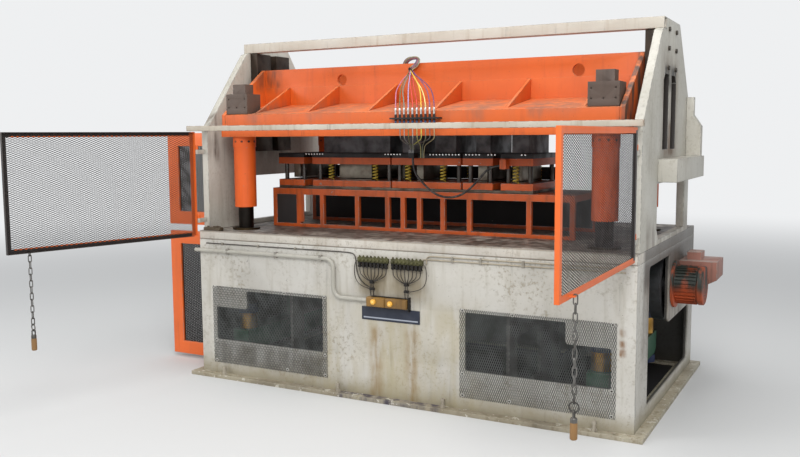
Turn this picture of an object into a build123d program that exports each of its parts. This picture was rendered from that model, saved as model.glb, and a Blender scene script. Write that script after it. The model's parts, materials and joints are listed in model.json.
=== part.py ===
from build123d import *
import os
from math import cos, radians, sin, tan

# Long straight-sided press for a roll-forming line. The strip passes left to right
# through small dies. The ram is pulled down by four rods that run through the bed to
# two crossheads inside the base.
# Millimetres. X runs along the line, -Y is the operator's side, +Z is up. The origin
# is on the floor, under the centre of the base.

# Base
base_length = 3000
base_depth = 1720
bed_height = 1010
bed_thickness = 60
wall = 25
sole_thickness = 25
sole_overhang = 60
sole_inset = 90
anchor_hole_d = 22
anchor_spread = 2800
anchor_inner_spread = 960
anchor_line = 32
jack_offset = 110
jack_d = 20
stiffener_x = 760
stiffener_thickness = 20
stiffener_shaft_hole = 200
stiffener_hole_width = 420
stiffener_hole_height = 320
stiffener_hole_z = 300
stiffener_hole_ys = (-490, 370)

# Stepped windows of the front plate and their guard sheets
window_inner_x = 500
window_step_x = 1110
window_outer_x = 1370
window_bottom = 260
window_step_top = 488
window_top = 612
window_radius = 14
sheet_inner_x = 465
sheet_outer_x = 1398
sheet_bottom = 95
sheet_top = 632
sheet_thickness = 4
sheet_margin = 28
mesh_pitch_x = 124
mesh_pitch_z = 92
mesh_strand = 18

# Openings of the end plates, measured from the front face of the base
end_open_front = 300
end_open_mid = 870
end_open_rear = 1560
end_open_bottom = 100
end_open_step = 480
end_open_top = 905
end_open_radius = 30

# Press centre line, measured from the front face of the base
press_setback = 750

# End frames
frame_thickness = 50
frame_front = 50
frame_back = 1440
frame_slope_start = 1700
frame_slope_end = 2240
frame_slope_run = 500
frame_top = 2320
frame_top_back = 1010
frame_back_mid = 1350
frame_back_mid_z = 1890
frame_back_low_z = 1770
strip_front = 456
strip_back = 1300
strip_bottom = 1040
strip_top = 1366
strip_chamfer = 60
gib_window_in = 35
gib_window_out = 190
gib_window_bottom = 1560
gib_window_top = 2000
gib_window_chamfer = 40

# Gibs and guide shoes
gib_thickness = 60
gib_bottom = 1545
gib_top = 2250
gib_land = 10
slide_clearance = 0.3
bolt_rows = (2035, 2148, 2258)
bolt_offsets = (-80, 135)
bolt_head = 30
bolt_head_height = 11
shoe_height = 340
shoe_rise = 10

# Shelf beam, rear rib and block on the outside of each frame
shelf_reach = 110
shelf_front = 456
shelf_back = 1360
shelf_bottom = 1375
shelf_top = 1508
shelf_wall = 12
rib_width = 60
rib_reach = 95
rib_top = 1770
rib_slope = 70
lug_rise = 118

# Tie tube and guard rail
tube_depth = 70
tube_height = 66
tube_wall = 5
tube_front = 540
rail_length = 3060
rail_size = 35
rail_bottom = 1690
rail_setout = 52
rail_lug_width = 60
rail_lug_inset = 8
rail_lug_low = 4
rail_lug_high = 20

# Ram weldment
ram_length = 2770
ram_depth = 1240
ram_bottom = 1650
slab_thickness = 50
slab_lip = 8
ram_plate = 25
ram_end_plate = 30
ram_front_top = 1800
shelf_rise = 75
shelf_plate = 16
web_spread = 300
web_top = 2130
web_step_z = 2000
web_step = 8
lift_hole_d = 76
lift_hole_z = 2040
lift_hole_left = -700
lift_hole_right = 985
gusset_xs = (-1140, -727, -259, 209, 677, 1140)
gusset_thickness = 20
gusset_run = 400

# Pull rods and what they carry
rod_x = 1262
rod_spread = 1070
rod_d = 105
running_clearance = 0.05
bush_d = 150
bush_flange_d = 190
bush_flange = 12
sleeve_d = 150
sleeve_bottom = 1167
collar_d = 158
collar_height = 72
clamp_width = 176
clamp_depth = 150
clamp_height = 135
cap_width = 104
cap_depth = 90
cap_height = 66
clamp_hole_d = 12
clamp_hole_depth = 8
clamp_pocket_margin = 10
clamp_holes = ((-68, 42), (0, 42), (68, 42), (-68, 98), (68, 98))
clamp_seat = 5
crosshead_bottom = 160
crosshead_height = 150
crosshead_width = 130
crosshead_end = 95
crosshead_waist = 30
brass_collar_d = 124
brass_collar_height = 110
blue_collar_d = 136
blue_collar_height = 66
rod_nut_flats = 135
rod_nut_height = 48
plunger_d = 90
plunger_top = 590
plunger_spare = 5
ram_stroke = 50

# Crank cases, shafts, flywheel and motor
case_width = 190
case_front = 560
case_back = 1180
case_bottom = 520
case_radius = 40
case_foot = 35
case_foot_height = 22
shaft_height = 700
line_shaft_d = 80
line_shaft_seat = 60
coupling_d = 184
coupling_length = 120
coupling_flange = 36
coupling_barrel_d = 128
coupling_bolt_circle_d = 156
coupling_bolt_d = 14
shaft_end_play = 1
wheel_setback = 1035
wheel_d = 470
wheel_width = 72
wheel_rim = 46
wheel_disc = 26
wheel_hub_d = 150
wheel_disc_seat = 10
wheel_holes_d = 70
wheel_holes = 5
wheel_gap = 30
wheel_shaft_d = 70
wheel_shaft_seat = 70
motor_flange_d = 300
motor_flange = 18
motor_d = 250
motor_length = 140
motor_fan_cover = 34
motor_fins = 14
motor_fin_height = 8
motor_fin_width = 5
motor_fin_root = 12
motor_hole_d = 110
motor_seat = 60
corbel_front = 1195
corbel_back = 1470
corbel_top = 830
corbel_bottom = 590
corbel_reach = 235
corbel_nose = 120
corbel_wall = 16
terminal_box = 90
terminal_inset = 40

# Die support frame
support_left = -1222
support_right = 1010
support_depth = 540
support_height = 275
support_top_rail = 45
support_foot_rail = 25
support_bar = 32
support_bars = (-806, -520, -283, -166, -44, 128, 315, 717)
hanging_bar_foot = 36
hanging_bar_depth = 8
panel_right = -1004
panel_thickness = 6

# Die stations: left edge, right edge
stations = ((-1172, -955), (-885, -262), (-250, 253), (267, 473), (527, 740))
die_depth = 520
sub_plate = 18
shoe_thickness = 45
die_gap = 110
top_plate = 30
pin_d = 30
pin_reach = 72
pin_inset = 34
pin_row = 0.4
pin_bore_spare = 6
spring_wire = 7
ring_play = 0.8
spring_d = 40
spring_turns = 5
spring_xs = (-754, -400, -148, 109, 613)
spring_row = 0.42
tool_blocks = ((-1090, -1035), (-705, -445), (-240, -190), (-98, -48), (345, 410), (578, 640))
tool_depth = 380
tool_gap = 6
tool_split = 0.085
spacer_blocks = ((-830, -300), (-205, -60), (40, 190), (330, 430), (575, 690))

# Front doors
door_width = 1312
door_bottom = 975
door_top = 1685
door_bar = 30
door_depth = 22
door_setout = 25
door_hinge_x = 1484
door_mesh_depth = 3
door_plate = 4
door_start = 18
door_pitch_x = 156
door_pitch_z = 104
door_strand = 16
left_door_angle = 105
right_door_angle = 90
hinge_pin_d = 12
hinge_barrel_d = 22
hinge_length = 60
hinge_rise = 90
hinge_clearance = 0.05
hinge_end_play = 0.5
hinge_leaf = 6

# Chains and padlocks
chain_from_hinge = 1165
chain_setout = 34
chain_eye_z = 990
chain_wire = 6
link_pitch = 38
link_width = 24
link_count = 12
link_play = 0.2
link_chamfer = 3
staple_d = 8
staple_width = 34
ring_d = 50
ring_wire = 7
lock_width = 34
lock_height = 84
lock_depth = 24
lock_chamfer = 5
shackle_wire = 8
shackle_height = 46

# Guards at the left end
end_guard_setback = 300
end_guard_reach = 530
end_guard_bar = 95
end_guard_depth = 30
end_guard_split = 985
end_guard_top = 1680
end_guard_gap = 50
end_guard_mesh = 3
end_guard_pitch_x = 110
end_guard_pitch_z = 118
end_guard_bottom = 30

# Pipework and fittings on the front plate
conduit_d = 26
conduit_z = 876
conduit_drop_x = -405
conduit_low_z = 634
conduit_bend = 60
conduit_start_x = -1530
lube_line_d = 8
lube_line_z = 925
lube_block_z = 868
lube_block_height = 46
lube_block_width = 190
lube_block_depth = 34
lube_block_xs = (-115, 125)
lube_valves = 7
lube_valve_d = 14
lube_valve_height = 30
lube_tube_d = 6
lube_bundle_d = 22
lube_fans = ((-130, 775), (115, 765))
lube_line_reach = 1440
box_z = 600
box_height = 60
box_width = 132
box_depth = 44
box_xs = (-84, 66)
knob_d = 34
knob_depth = 16
knob_places = ((-96, 640), (22, 628))
name_plate_left = -203
name_plate_right = 203
name_plate_bottom = 508
name_plate_height = 84
name_plate_thickness = 4

# Air bulkhead and tubes on the ram
bulkhead_left = -40
bulkhead_right = 292
bulkhead_z = 1750
bulkhead_thickness = 10
bulkhead_depth = 34
bulkhead_setout = 36
fitting_count = 10
fitting_pitch = 29
fitting_first_x = -5
fitting_d = 16
fitting_up = 58
fitting_down = 36
tube_d = 7
tube_lead = 14
bundle_x = -140
bundle_z = 2060
bundle_pitch = 9
bundle_top = 2180
drop_start = 1636
drop_knee = 1585
drops = ((1, -85), (3, -76), (6, -67), (8, -58))

# Hose from the upper die plate down past the dies to the last upper shoe
hose_d = 14
hose_points = ((-71, -410, 1503), (-71, -410, 1420), (15, -425, 1335), (100, -435, 1272),
               (200, -438, 1250), (300, -435, 1275), (380, -420, 1350), (470, -405, 1460),
               (545, -405, 1460))
hose_start_block = ((-91, -435, 1503), (-51, -370, 1560))
hose_end_block = ((545, -435, 1440), (585, -370, 1500))

half_length = base_length / 2
front = -base_depth / 2
rear = base_depth / 2
under_bed = bed_height - bed_thickness
press_y = front + press_setback
frame_inner = half_length - frame_thickness
ram_half = ram_length / 2
ram_front = press_y - ram_depth / 2
ram_back = press_y + ram_depth / 2
slab_top = ram_bottom + slab_thickness
rod_ys = (press_y - rod_spread / 2, press_y + rod_spread / 2)
rod_places = [(x, y) for x in (-rod_x, rod_x) for y in rod_ys]

os.makedirs("parts", exist_ok=True)


def save(sub_part, name):
    sub_part.part.label = name
    export_step(sub_part.part, "parts/" + name + ".step")


def block(low, high):
    """Adds a box between two corners to the part that is being built."""
    centre = [(a + b) / 2 for a, b in zip(low, high)]
    size = [b - a for a, b in zip(low, high)]
    with Locations(tuple(centre)):
        Box(*size)


def cut(low, high):
    """Cuts a box between two corners out of the part that is being built."""
    centre = [(a + b) / 2 for a, b in zip(low, high)]
    size = [b - a for a, b in zip(low, high)]
    with Locations(tuple(centre)):
        Box(*size, mode=Mode.SUBTRACT)


def turned(diameter, low, high, x, y, mode=Mode.ADD):
    """Adds or cuts an upright cylinder between two heights."""
    with Locations((x, y, (low + high) / 2)):
        Cylinder(diameter / 2, high - low, mode=mode)


def sideways(radius, left, right, y, z, mode=Mode.ADD):
    """Adds or cuts a cylinder that lies along X."""
    with Locations(Plane(((left + right) / 2, y, z), x_dir=(0, 1, 0), z_dir=(1, 0, 0))):
        Cylinder(radius, right - left, mode=mode)


def stepped_outline(side):
    """Points of a stepped window of the front plate, for side -1 or 1."""
    points = [(window_inner_x, window_bottom), (window_inner_x, window_top),
              (window_step_x, window_top), (window_step_x, window_step_top),
              (window_outer_x, window_step_top), (window_outer_x, window_bottom)]
    return [(side * x, z) for x, z in points]


# Sole frame: the flat foot ring that is anchored to the floor
anchor_y = rear + anchor_line
with BuildPart() as sole_frame:
    with BuildSketch():
        Rectangle(base_length + 2 * sole_overhang, base_depth + 2 * sole_overhang)
        Rectangle(base_length - 2 * sole_inset, base_depth - 2 * sole_inset, mode=Mode.SUBTRACT)
        with Locations(*[(sx * w / 2, sy * anchor_y) for w in (anchor_spread, anchor_inner_spread)
                         for sx in (-1, 1) for sy in (-1, 1)]):
            Circle(anchor_hole_d / 2, mode=Mode.SUBTRACT)
        with Locations(*[(sx * (w / 2 - jack_offset), sy * anchor_y)
                         for w in (anchor_spread, anchor_inner_spread)
                         for sx in (-1, 1) for sy in (-1, 1)]):
            Circle(jack_d / 2, mode=Mode.SUBTRACT)
    extrude(amount=sole_thickness)
save(sole_frame, "sole_frame")

# Levelling screws: a screw with its lock nut and square head beside each anchor hole
with BuildPart() as levelling_screws:
    for width in (anchor_spread, anchor_inner_spread):
        for sx in (-1, 1):
            for sy in (-1, 1):
                spot = (sx * (width / 2 - jack_offset), sy * anchor_y)
                turned(jack_d, 0, sole_thickness + 2.6 * jack_d, *spot)
                with BuildSketch(Plane.XY.offset(sole_thickness)):
                    with Locations(spot):
                        RegularPolygon(0.87 * jack_d, 6)
                extrude(amount=0.8 * jack_d)
                with BuildSketch(Plane.XY.offset(sole_thickness + 2.0 * jack_d)):
                    with Locations(spot):
                        Rectangle(1.1 * jack_d, 1.1 * jack_d)
                extrude(amount=0.8 * jack_d)
save(levelling_screws, "levelling_screws")

# Long side plates of the base: the front one has two stepped windows
with BuildPart() as base_side_plates:
    block((-half_length, front, sole_thickness), (half_length, front + wall, under_bed))
    for side in (-1, 1):
        with BuildSketch(Plane.XZ.offset(-front)) as window:
            with BuildLine():
                Polyline(*stepped_outline(side), close=True)
            make_face()
            fillet(window.vertices(), window_radius)
        extrude(amount=-wall, mode=Mode.SUBTRACT)
    block((-half_length, rear - wall, sole_thickness), (half_length, rear, under_bed))
save(base_side_plates, "base_side_plates")

# End plates of the base: a stepped opening, and on the right the motor's shaft hole
wheel_y = front + wheel_setback
with BuildPart() as base_end_plates:
    for side in (-1, 1):
        outer = side * half_length
        inner = side * (half_length - wall)
        block((min(outer, inner), front + wall, sole_thickness),
              (max(outer, inner), rear - wall, under_bed))
        with BuildSketch(Plane.YZ.offset(outer)) as opening:
            with BuildLine():
                Polyline((front + end_open_front, end_open_bottom),
                         (front + end_open_front, end_open_top),
                         (front + end_open_mid, end_open_top),
                         (front + end_open_mid, end_open_step),
                         (front + end_open_rear, end_open_step),
                         (front + end_open_rear, end_open_bottom), close=True)
            make_face()
            fillet(opening.vertices(), end_open_radius)
        extrude(amount=-side * wall, mode=Mode.SUBTRACT)
        if side > 0:
            sideways(motor_hole_d / 2, inner, outer, wheel_y, shaft_height, Mode.SUBTRACT)
save(base_end_plates, "base_end_plates")

# Stiffeners that carry the bed between the ends
stiffener_front = front + wall
stiffener_back = rear - wall
with BuildPart() as base_stiffeners:
    for x in (-stiffener_x, stiffener_x):
        block((x - stiffener_thickness / 2, stiffener_front, sole_thickness),
              (x + stiffener_thickness / 2, stiffener_back, under_bed))
    with Locations(*[(x, press_y, shaft_height) for x in (-stiffener_x, stiffener_x)]):
        Box(stiffener_thickness, stiffener_shaft_hole, stiffener_shaft_hole, mode=Mode.SUBTRACT)
    with Locations(*[(x, y, stiffener_hole_z) for x in (-stiffener_x, stiffener_x)
                     for y in stiffener_hole_ys]):
        Box(stiffener_thickness, stiffener_hole_width, stiffener_hole_height, mode=Mode.SUBTRACT)
save(base_stiffeners, "base_stiffeners")

# Bed plate, bored for the four rod bushes
with BuildPart() as bed_plate:
    block((-half_length, front, under_bed), (half_length, rear, bed_height))
    for x, y in rod_places:
        turned(bush_d, under_bed, bed_height, x, y, Mode.SUBTRACT)
save(bed_plate, "bed_plate")

with BuildPart() as rod_bushes:
    for x, y in rod_places:
        turned(bush_d, under_bed, bed_height, x, y)
        turned(bush_flange_d, bed_height, bed_height + bush_flange, x, y)
        turned(rod_d + 2 * running_clearance, under_bed, bed_height + bush_flange, x, y, Mode.SUBTRACT)
save(rod_bushes, "rod_bushes")

# End frames: flame-cut plates with a strip window and two tall gib windows
slope_z_at_tube = frame_top - tube_height
frame_outline = [(front + frame_front, bed_height), (front + frame_front, frame_slope_start),
                 (front + frame_slope_run, frame_slope_end), (front + tube_front, slope_z_at_tube),
                 (front + tube_front + tube_depth, slope_z_at_tube),
                 (front + tube_front + tube_depth, frame_top), (front + frame_top_back, frame_top),
                 (front + frame_back_mid, frame_back_mid_z), (front + frame_back, frame_back_low_z),
                 (front + frame_back, bed_height)]
strip_outline = [(front + strip_front + strip_chamfer, strip_bottom),
                 (front + strip_front, strip_bottom + strip_chamfer), (front + strip_front, strip_top),
                 (front + strip_back, strip_top), (front + strip_back, strip_bottom)]
with BuildPart() as end_frames:
    for side in (-1, 1):
        with BuildSketch(Plane.YZ.offset(side * half_length)):
            with BuildLine():
                Polyline(*frame_outline, close=True)
            make_face()
            with BuildLine():
                Polyline(*strip_outline, close=True)
            make_face(mode=Mode.SUBTRACT)
            for hand in (-1, 1):
                near = press_y + hand * gib_window_in
                far = press_y + hand * gib_window_out
                with BuildLine():
                    Polyline((near, gib_window_bottom), (near, gib_window_top),
                             (far - hand * gib_window_chamfer, gib_window_top),
                             (far, gib_window_top - gib_window_chamfer),
                             (far, gib_window_bottom), close=True)
                make_face(mode=Mode.SUBTRACT)
        extrude(amount=-side * frame_thickness)
save(end_frames, "end_frames")

# Gibs: two guide bars on the inner face of each frame, behind its tall windows
with BuildPart() as frame_gibs:
    for side in (-1, 1):
        near = side * frame_inner
        far = side * (frame_inner - gib_thickness)
        for hand in (-1, 1):
            inside = press_y + hand * (gib_window_in + slide_clearance)
            outside = press_y + hand * (gib_window_out + gib_land)
            block((min(near, far), min(inside, outside), gib_bottom),
                  (max(near, far), max(inside, outside), gib_top))
save(frame_gibs, "frame_gibs")

# Shelf beams: welded trays outside the frames at strip height, with a rib and a block
with BuildPart() as shelf_beams:
    for side in (-1, 1):
        root = side * half_length
        tip = side * (half_length + shelf_reach)
        rib_tip = side * (half_length + rib_reach)
        lug_tip = side * (half_length + rib_reach / 2)
        block((min(root, tip), front + shelf_front, shelf_bottom),
              (max(root, tip), front + shelf_back, shelf_top))
        ends = (root, side * (half_length + shelf_reach - shelf_wall))
        cut((min(ends), front + shelf_front + shelf_wall, shelf_bottom),
            (max(ends), front + shelf_back - shelf_wall, shelf_top - shelf_wall))
        with BuildSketch(Plane.XZ.offset(-(front + shelf_back))):
            with BuildLine():
                Polyline((root, shelf_top), (rib_tip, shelf_top), (rib_tip, rib_top - rib_slope),
                         (lug_tip, rib_top), (root, rib_top), close=True)
            make_face()
        extrude(amount=rib_width)
        block((min(root, lug_tip), front + shelf_back - rib_width, rib_top),
              (max(root, lug_tip), front + shelf_back - rib_width / 3, rib_top + lug_rise))
save(shelf_beams, "shelf_beams")

# Tie tube across the top of the frames
tie_y = front + tube_front
with BuildPart() as top_tie_tube:
    block((-half_length, tie_y, slope_z_at_tube), (half_length, tie_y + tube_depth, frame_top))
    with Locations((0, tie_y + tube_depth / 2, frame_top - tube_height / 2)):
        Box(base_length, tube_depth - 2 * tube_wall, tube_height - 2 * tube_wall, mode=Mode.SUBTRACT)
save(top_tie_tube, "top_tie_tube")

# Guard rail in front of the frames, on a lug at each end
rail_y = front - rail_setout
with BuildPart() as guard_rail:
    block((-rail_length / 2, rail_y - rail_size / 2, rail_bottom),
          (rail_length / 2, rail_y + rail_size / 2, rail_bottom + rail_size))
    for side in (-1, 1):
        low = side * (half_length - rail_lug_width)
        high = side * (half_length - rail_lug_inset)
        block((min(low, high), rail_y + rail_size / 2, rail_bottom + rail_lug_low),
              (max(low, high), front + frame_front, rail_bottom + rail_lug_high))
save(guard_rail, "guard_rail")

# Frame bolts: rows of hex heads above the tall windows that hold the gibs
bolt_places = [(press_y + dy, z) for z in bolt_rows for dy in bolt_offsets]
with BuildPart() as frame_bolts:
    for side in (-1, 1):
        with BuildSketch(Plane.YZ.offset(side * half_length)):
            with Locations(*bolt_places):
                RegularPolygon(bolt_head / 2, 6)
        extrude(amount=side * bolt_head_height)
save(frame_bolts, "frame_bolts")

# Ram: a welded beam of a slab, face plates, two webs, shelves, gussets and end plates
ram_inside = ram_half - ram_end_plate
web_face = web_spread / 2 + web_step
shelf_slope = shelf_rise / (ram_depth / 2 - web_face)
face_back = ram_depth / 2 - ram_plate
seat_top = ram_front_top + clamp_seat


def mirrored(points, hand):
    """Points across the press centre line, given as distance out from it and height."""
    return [(press_y - hand * out, z) for out, z in points]


with BuildPart() as ram_slab:
    block((-ram_half, ram_front - slab_lip, ram_bottom), (ram_half, ram_back + slab_lip, slab_top))
    for x, y in rod_places:
        hand = 1 if y > press_y else -1
        ends = (y - hand * clamp_depth / 2, press_y + hand * face_back)
        block((x - clamp_width / 2, min(ends), slab_top), (x + clamp_width / 2, max(ends), seat_top))
        turned(rod_d + 2 * running_clearance, ram_bottom, seat_top, x, y, Mode.SUBTRACT)
save(ram_slab, "ram_slab")

with BuildPart() as ram_webs:
    for hand in (-1, 1):
        profile = [(web_face, slab_top), (web_face, web_step_z), (web_spread / 2, web_step_z),
                   (web_spread / 2, web_top), (web_spread / 2 - ram_plate, web_top),
                   (web_spread / 2 - ram_plate, slab_top)]
        with BuildSketch(Plane.YZ.offset(-ram_inside)):
            with BuildLine():
                Polyline(*mirrored(profile, -hand), close=True)
            make_face()
        extrude(amount=2 * ram_inside)
    for x in (lift_hole_left, lift_hole_right):
        with Locations(Plane((x, press_y, lift_hole_z), x_dir=(1, 0, 0), z_dir=(0, 1, 0))):
            Cylinder(lift_hole_d / 2, 2 * web_face, mode=Mode.SUBTRACT)
save(ram_webs, "ram_webs")

with BuildPart() as ram_end_plates:
    outline = [(ram_depth / 2, slab_top), (ram_depth / 2, ram_front_top), (web_face, web_top)]
    for side in (-1, 1):
        with BuildSketch(Plane.YZ.offset(side * ram_half)):
            with BuildLine():
                Polyline(*(mirrored(outline, 1) + mirrored(outline[::-1], -1)), close=True)
            make_face()
        extrude(amount=-side * ram_end_plate)
save(ram_end_plates, "ram_end_plates")

# Face plates, bent back into sloping shelves that are open around the rod clamps
pocket_back = rod_spread / 2 - clamp_depth / 2 - clamp_pocket_margin
with BuildPart() as ram_shelves:
    for hand in (-1, 1):
        profile = [(ram_depth / 2, slab_top), (ram_depth / 2, ram_front_top),
                   (web_face, ram_front_top + shelf_rise),
                   (web_face, ram_front_top + shelf_rise - shelf_plate),
                   (face_back, ram_front_top - shelf_plate), (face_back, slab_top)]
        with BuildSketch(Plane.YZ.offset(-ram_inside)):
            with BuildLine():
                Polyline(*mirrored(profile, -hand), close=True)
            make_face()
        extrude(amount=2 * ram_inside)
    for side in (-1, 1):
        for hand in (-1, 1):
            ends = (press_y + hand * pocket_back, press_y + hand * face_back)
            edges = (side * (rod_x - clamp_width / 2 - clamp_pocket_margin), side * ram_inside)
            cut((min(edges), min(ends), slab_top), (max(edges), max(ends), web_top))
save(ram_shelves, "ram_shelves")

with BuildPart() as ram_gussets:
    for hand in (-1, 1):
        toe = web_face + gusset_run
        profile = [(web_face, ram_front_top + shelf_rise), (web_face, web_step_z),
                   (toe, ram_front_top + shelf_rise - shelf_slope * gusset_run)]
        for x in gusset_xs:
            with BuildSketch(Plane.YZ.offset(x - gusset_thickness / 2)):
                with BuildLine():
                    Polyline(*mirrored(profile, hand), close=True)
                make_face()
            extrude(amount=gusset_thickness)
save(ram_gussets, "ram_gussets")

# Ram guide shoes, which run between the gibs
with BuildPart() as ram_guide_shoes:
    for side in (-1, 1):
        near = side * ram_half
        far = side * (frame_inner - slide_clearance)
        block((min(near, far), press_y - gib_window_in, slab_top + shoe_rise),
              (max(near, far), press_y + gib_window_in, slab_top + shoe_rise + shoe_height))
save(ram_guide_shoes, "ram_guide_shoes")

# Split clamp blocks with their bolt holes, and a cap on each
clamp_top = seat_top + clamp_height
with BuildPart() as rod_clamp_blocks:
    for x, y in rod_places:
        hand = 1 if y > press_y else -1
        block((x - clamp_width / 2, y - clamp_depth / 2, seat_top),
              (x + clamp_width / 2, y + clamp_depth / 2, clamp_top))
        turned(rod_d + 2 * running_clearance, seat_top, clamp_top, x, y, Mode.SUBTRACT)
        for dx, rise in clamp_holes:
            z = seat_top + rise
            spot = Plane((x + dx, y + hand * clamp_depth / 2, z), x_dir=(1, 0, 0), z_dir=(0, hand, 0))
            with Locations(spot):
                Hole(clamp_hole_d / 2, depth=clamp_hole_depth)
        block((x - cap_width / 2, y - cap_depth / 2, clamp_top),
              (x + cap_width / 2, y + cap_depth / 2, clamp_top + cap_height))
save(rod_clamp_blocks, "rod_clamp_blocks")

with BuildPart() as pull_rods:
    for x, y in rod_places:
        turned(rod_d, crosshead_bottom - rod_nut_height, clamp_top, x, y)
save(pull_rods, "pull_rods")

# Guide sleeves, bolted under the ram with a collar
with BuildPart() as guide_sleeves:
    for x, y in rod_places:
        turned(sleeve_d, sleeve_bottom, ram_bottom, x, y)
        turned(collar_d, ram_bottom - collar_height, ram_bottom, x, y)
        turned(rod_d + 2 * running_clearance, sleeve_bottom, ram_bottom, x, y, Mode.SUBTRACT)
save(guide_sleeves, "guide_sleeves")

# Crossheads inside the base, one at each end, each with the plunger of its crank case
crosshead_top = crosshead_bottom + crosshead_height
with BuildPart() as crossheads:
    for side in (-1, 1):
        x = side * rod_x
        half = rod_spread / 2 + crosshead_end
        with BuildSketch(Plane.YZ.offset(x - crosshead_width / 2)) as beam:
            with BuildLine():
                Polyline((press_y - half, crosshead_bottom + crosshead_waist),
                         (press_y - half, crosshead_top), (press_y + half, crosshead_top),
                         (press_y + half, crosshead_bottom + crosshead_waist),
                         (press_y + half - crosshead_end / 2, crosshead_bottom),
                         (press_y - half + crosshead_end / 2, crosshead_bottom), close=True)
            make_face()
        extrude(amount=crosshead_width)
    for x, y in rod_places:
        turned(rod_d + 2 * running_clearance, crosshead_bottom, crosshead_top, x, y, Mode.SUBTRACT)
    for side in (-1, 1):
        turned(plunger_d, crosshead_top, plunger_top, side * rod_x, press_y)
save(crossheads, "crossheads")

brass_top = crosshead_top + brass_collar_height
with BuildPart() as brass_collars:
    for x, y in rod_places:
        turned(brass_collar_d, crosshead_top, brass_top, x, y)
        turned(rod_d + 2 * running_clearance, crosshead_top, brass_top, x, y, Mode.SUBTRACT)
save(brass_collars, "brass_collars")

# Nuts at the rods' lower ends: a round lock nut above the brass collar and a hex nut below
with BuildPart() as rod_nuts:
    for x, y in rod_places:
        turned(blue_collar_d, brass_top, brass_top + blue_collar_height, x, y)
        with BuildSketch(Plane.XY.offset(crosshead_bottom - rod_nut_height)):
            with Locations((x, y)):
                RegularPolygon(rod_nut_flats / 2, 6, major_radius=False)
        extrude(amount=rod_nut_height)
        turned(rod_d + 2 * running_clearance, crosshead_bottom - rod_nut_height,
               brass_top + blue_collar_height, x, y, Mode.SUBTRACT)
save(rod_nuts, "rod_nuts")

# Crank cases under the bed: sealed housings with bearings for the shafts
with BuildPart() as crank_cases:
    for side in (-1, 1):
        x = side * rod_x
        with BuildSketch(Plane.XY.offset(case_bottom)):
            with Locations((x, front + (case_front + case_back) / 2)):
                RectangleRounded(case_width, case_back - case_front, case_radius)
        extrude(amount=under_bed - case_bottom)
        block((x - case_width / 2, front + case_front - case_foot, under_bed - case_foot_height),
              (x + case_width / 2, front + case_back + case_foot, under_bed))
        turned(plunger_d + 2 * running_clearance, case_bottom, plunger_top + ram_stroke + plunger_spare, x, press_y,
               Mode.SUBTRACT)
        inner = x - side * case_width / 2
        seat = (inner, inner + side * line_shaft_seat)
        sideways(line_shaft_d / 2 + running_clearance, min(seat), max(seat), press_y, shaft_height,
                 Mode.SUBTRACT)
        if side > 0:
            outer = x + case_width / 2
            sideways(wheel_shaft_d / 2 + running_clearance, outer - wheel_shaft_seat, outer, wheel_y,
                     shaft_height, Mode.SUBTRACT)
save(crank_cases, "crank_cases")

# Line shaft between the two cases, with a flanged coupling at its middle
shaft_end = rod_x - case_width / 2 + line_shaft_seat - shaft_end_play
with BuildPart() as line_shaft:
    sideways(line_shaft_d / 2, -shaft_end, shaft_end, press_y, shaft_height)
    sideways(coupling_barrel_d / 2, -coupling_length / 2, coupling_length / 2, press_y, shaft_height)
    with BuildSketch(Plane.YZ.offset(-coupling_flange / 2)):
        with Locations((press_y, shaft_height)):
            Circle(coupling_d / 2)
            with PolarLocations(coupling_bolt_circle_d / 2, 6):
                Circle(coupling_bolt_d / 2, mode=Mode.SUBTRACT)
    extrude(amount=coupling_flange)
save(line_shaft, "line_shaft")

# Flywheel on its own shaft, which runs from the right case into the motor
wheel_left = rod_x + case_width / 2 + wheel_gap
with BuildPart() as flywheel:
    with BuildSketch(Plane.YZ.offset(wheel_left)):
        with Locations((wheel_y, shaft_height)):
            Circle(wheel_d / 2)
            Circle(wheel_d / 2 - wheel_rim, mode=Mode.SUBTRACT)
            Circle(wheel_hub_d / 2)
            Circle(wheel_shaft_d / 2 + running_clearance, mode=Mode.SUBTRACT)
    extrude(amount=wheel_width)
    with BuildSketch(Plane.YZ.offset(wheel_left + (wheel_width - wheel_disc) / 2)):
        with Locations((wheel_y, shaft_height)):
            Circle(wheel_d / 2 - wheel_rim / 2)
            Circle(wheel_hub_d / 2 - wheel_disc_seat, mode=Mode.SUBTRACT)
            with PolarLocations((wheel_d / 2 - wheel_rim + wheel_hub_d / 2) / 2, wheel_holes):
                Circle(wheel_holes_d / 2, mode=Mode.SUBTRACT)
    extrude(amount=wheel_disc)
save(flywheel, "flywheel")

wheel_shaft_left = rod_x + case_width / 2 - wheel_shaft_seat + shaft_end_play
with BuildPart() as flywheel_shaft:
    sideways(wheel_shaft_d / 2, wheel_shaft_left, half_length + motor_seat, wheel_y, shaft_height)
save(flywheel_shaft, "flywheel_shaft")

# Motor: a finned barrel on a flange, with a fan cover
motor_face = half_length + motor_flange
with BuildPart() as drive_motor:
    sideways(motor_flange_d / 2, half_length, motor_face, wheel_y, shaft_height)
    sideways(motor_d / 2 - motor_fin_height, motor_face, motor_face + motor_length, wheel_y, shaft_height)
    with BuildSketch(Plane.YZ.offset(motor_face)):
        with Locations((wheel_y, shaft_height)):
            with PolarLocations((motor_d - motor_fin_height - motor_fin_root) / 2, motor_fins):
                Rectangle(motor_fin_height + motor_fin_root, motor_fin_width)
    extrude(amount=motor_length)
    sideways(motor_d / 2, motor_face + motor_length, motor_face + motor_length + motor_fan_cover,
             wheel_y, shaft_height)
    sideways(wheel_shaft_d / 2 + running_clearance, half_length, half_length + motor_seat + shaft_end_play,
             wheel_y, shaft_height, Mode.SUBTRACT)
save(drive_motor, "drive_motor")

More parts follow.
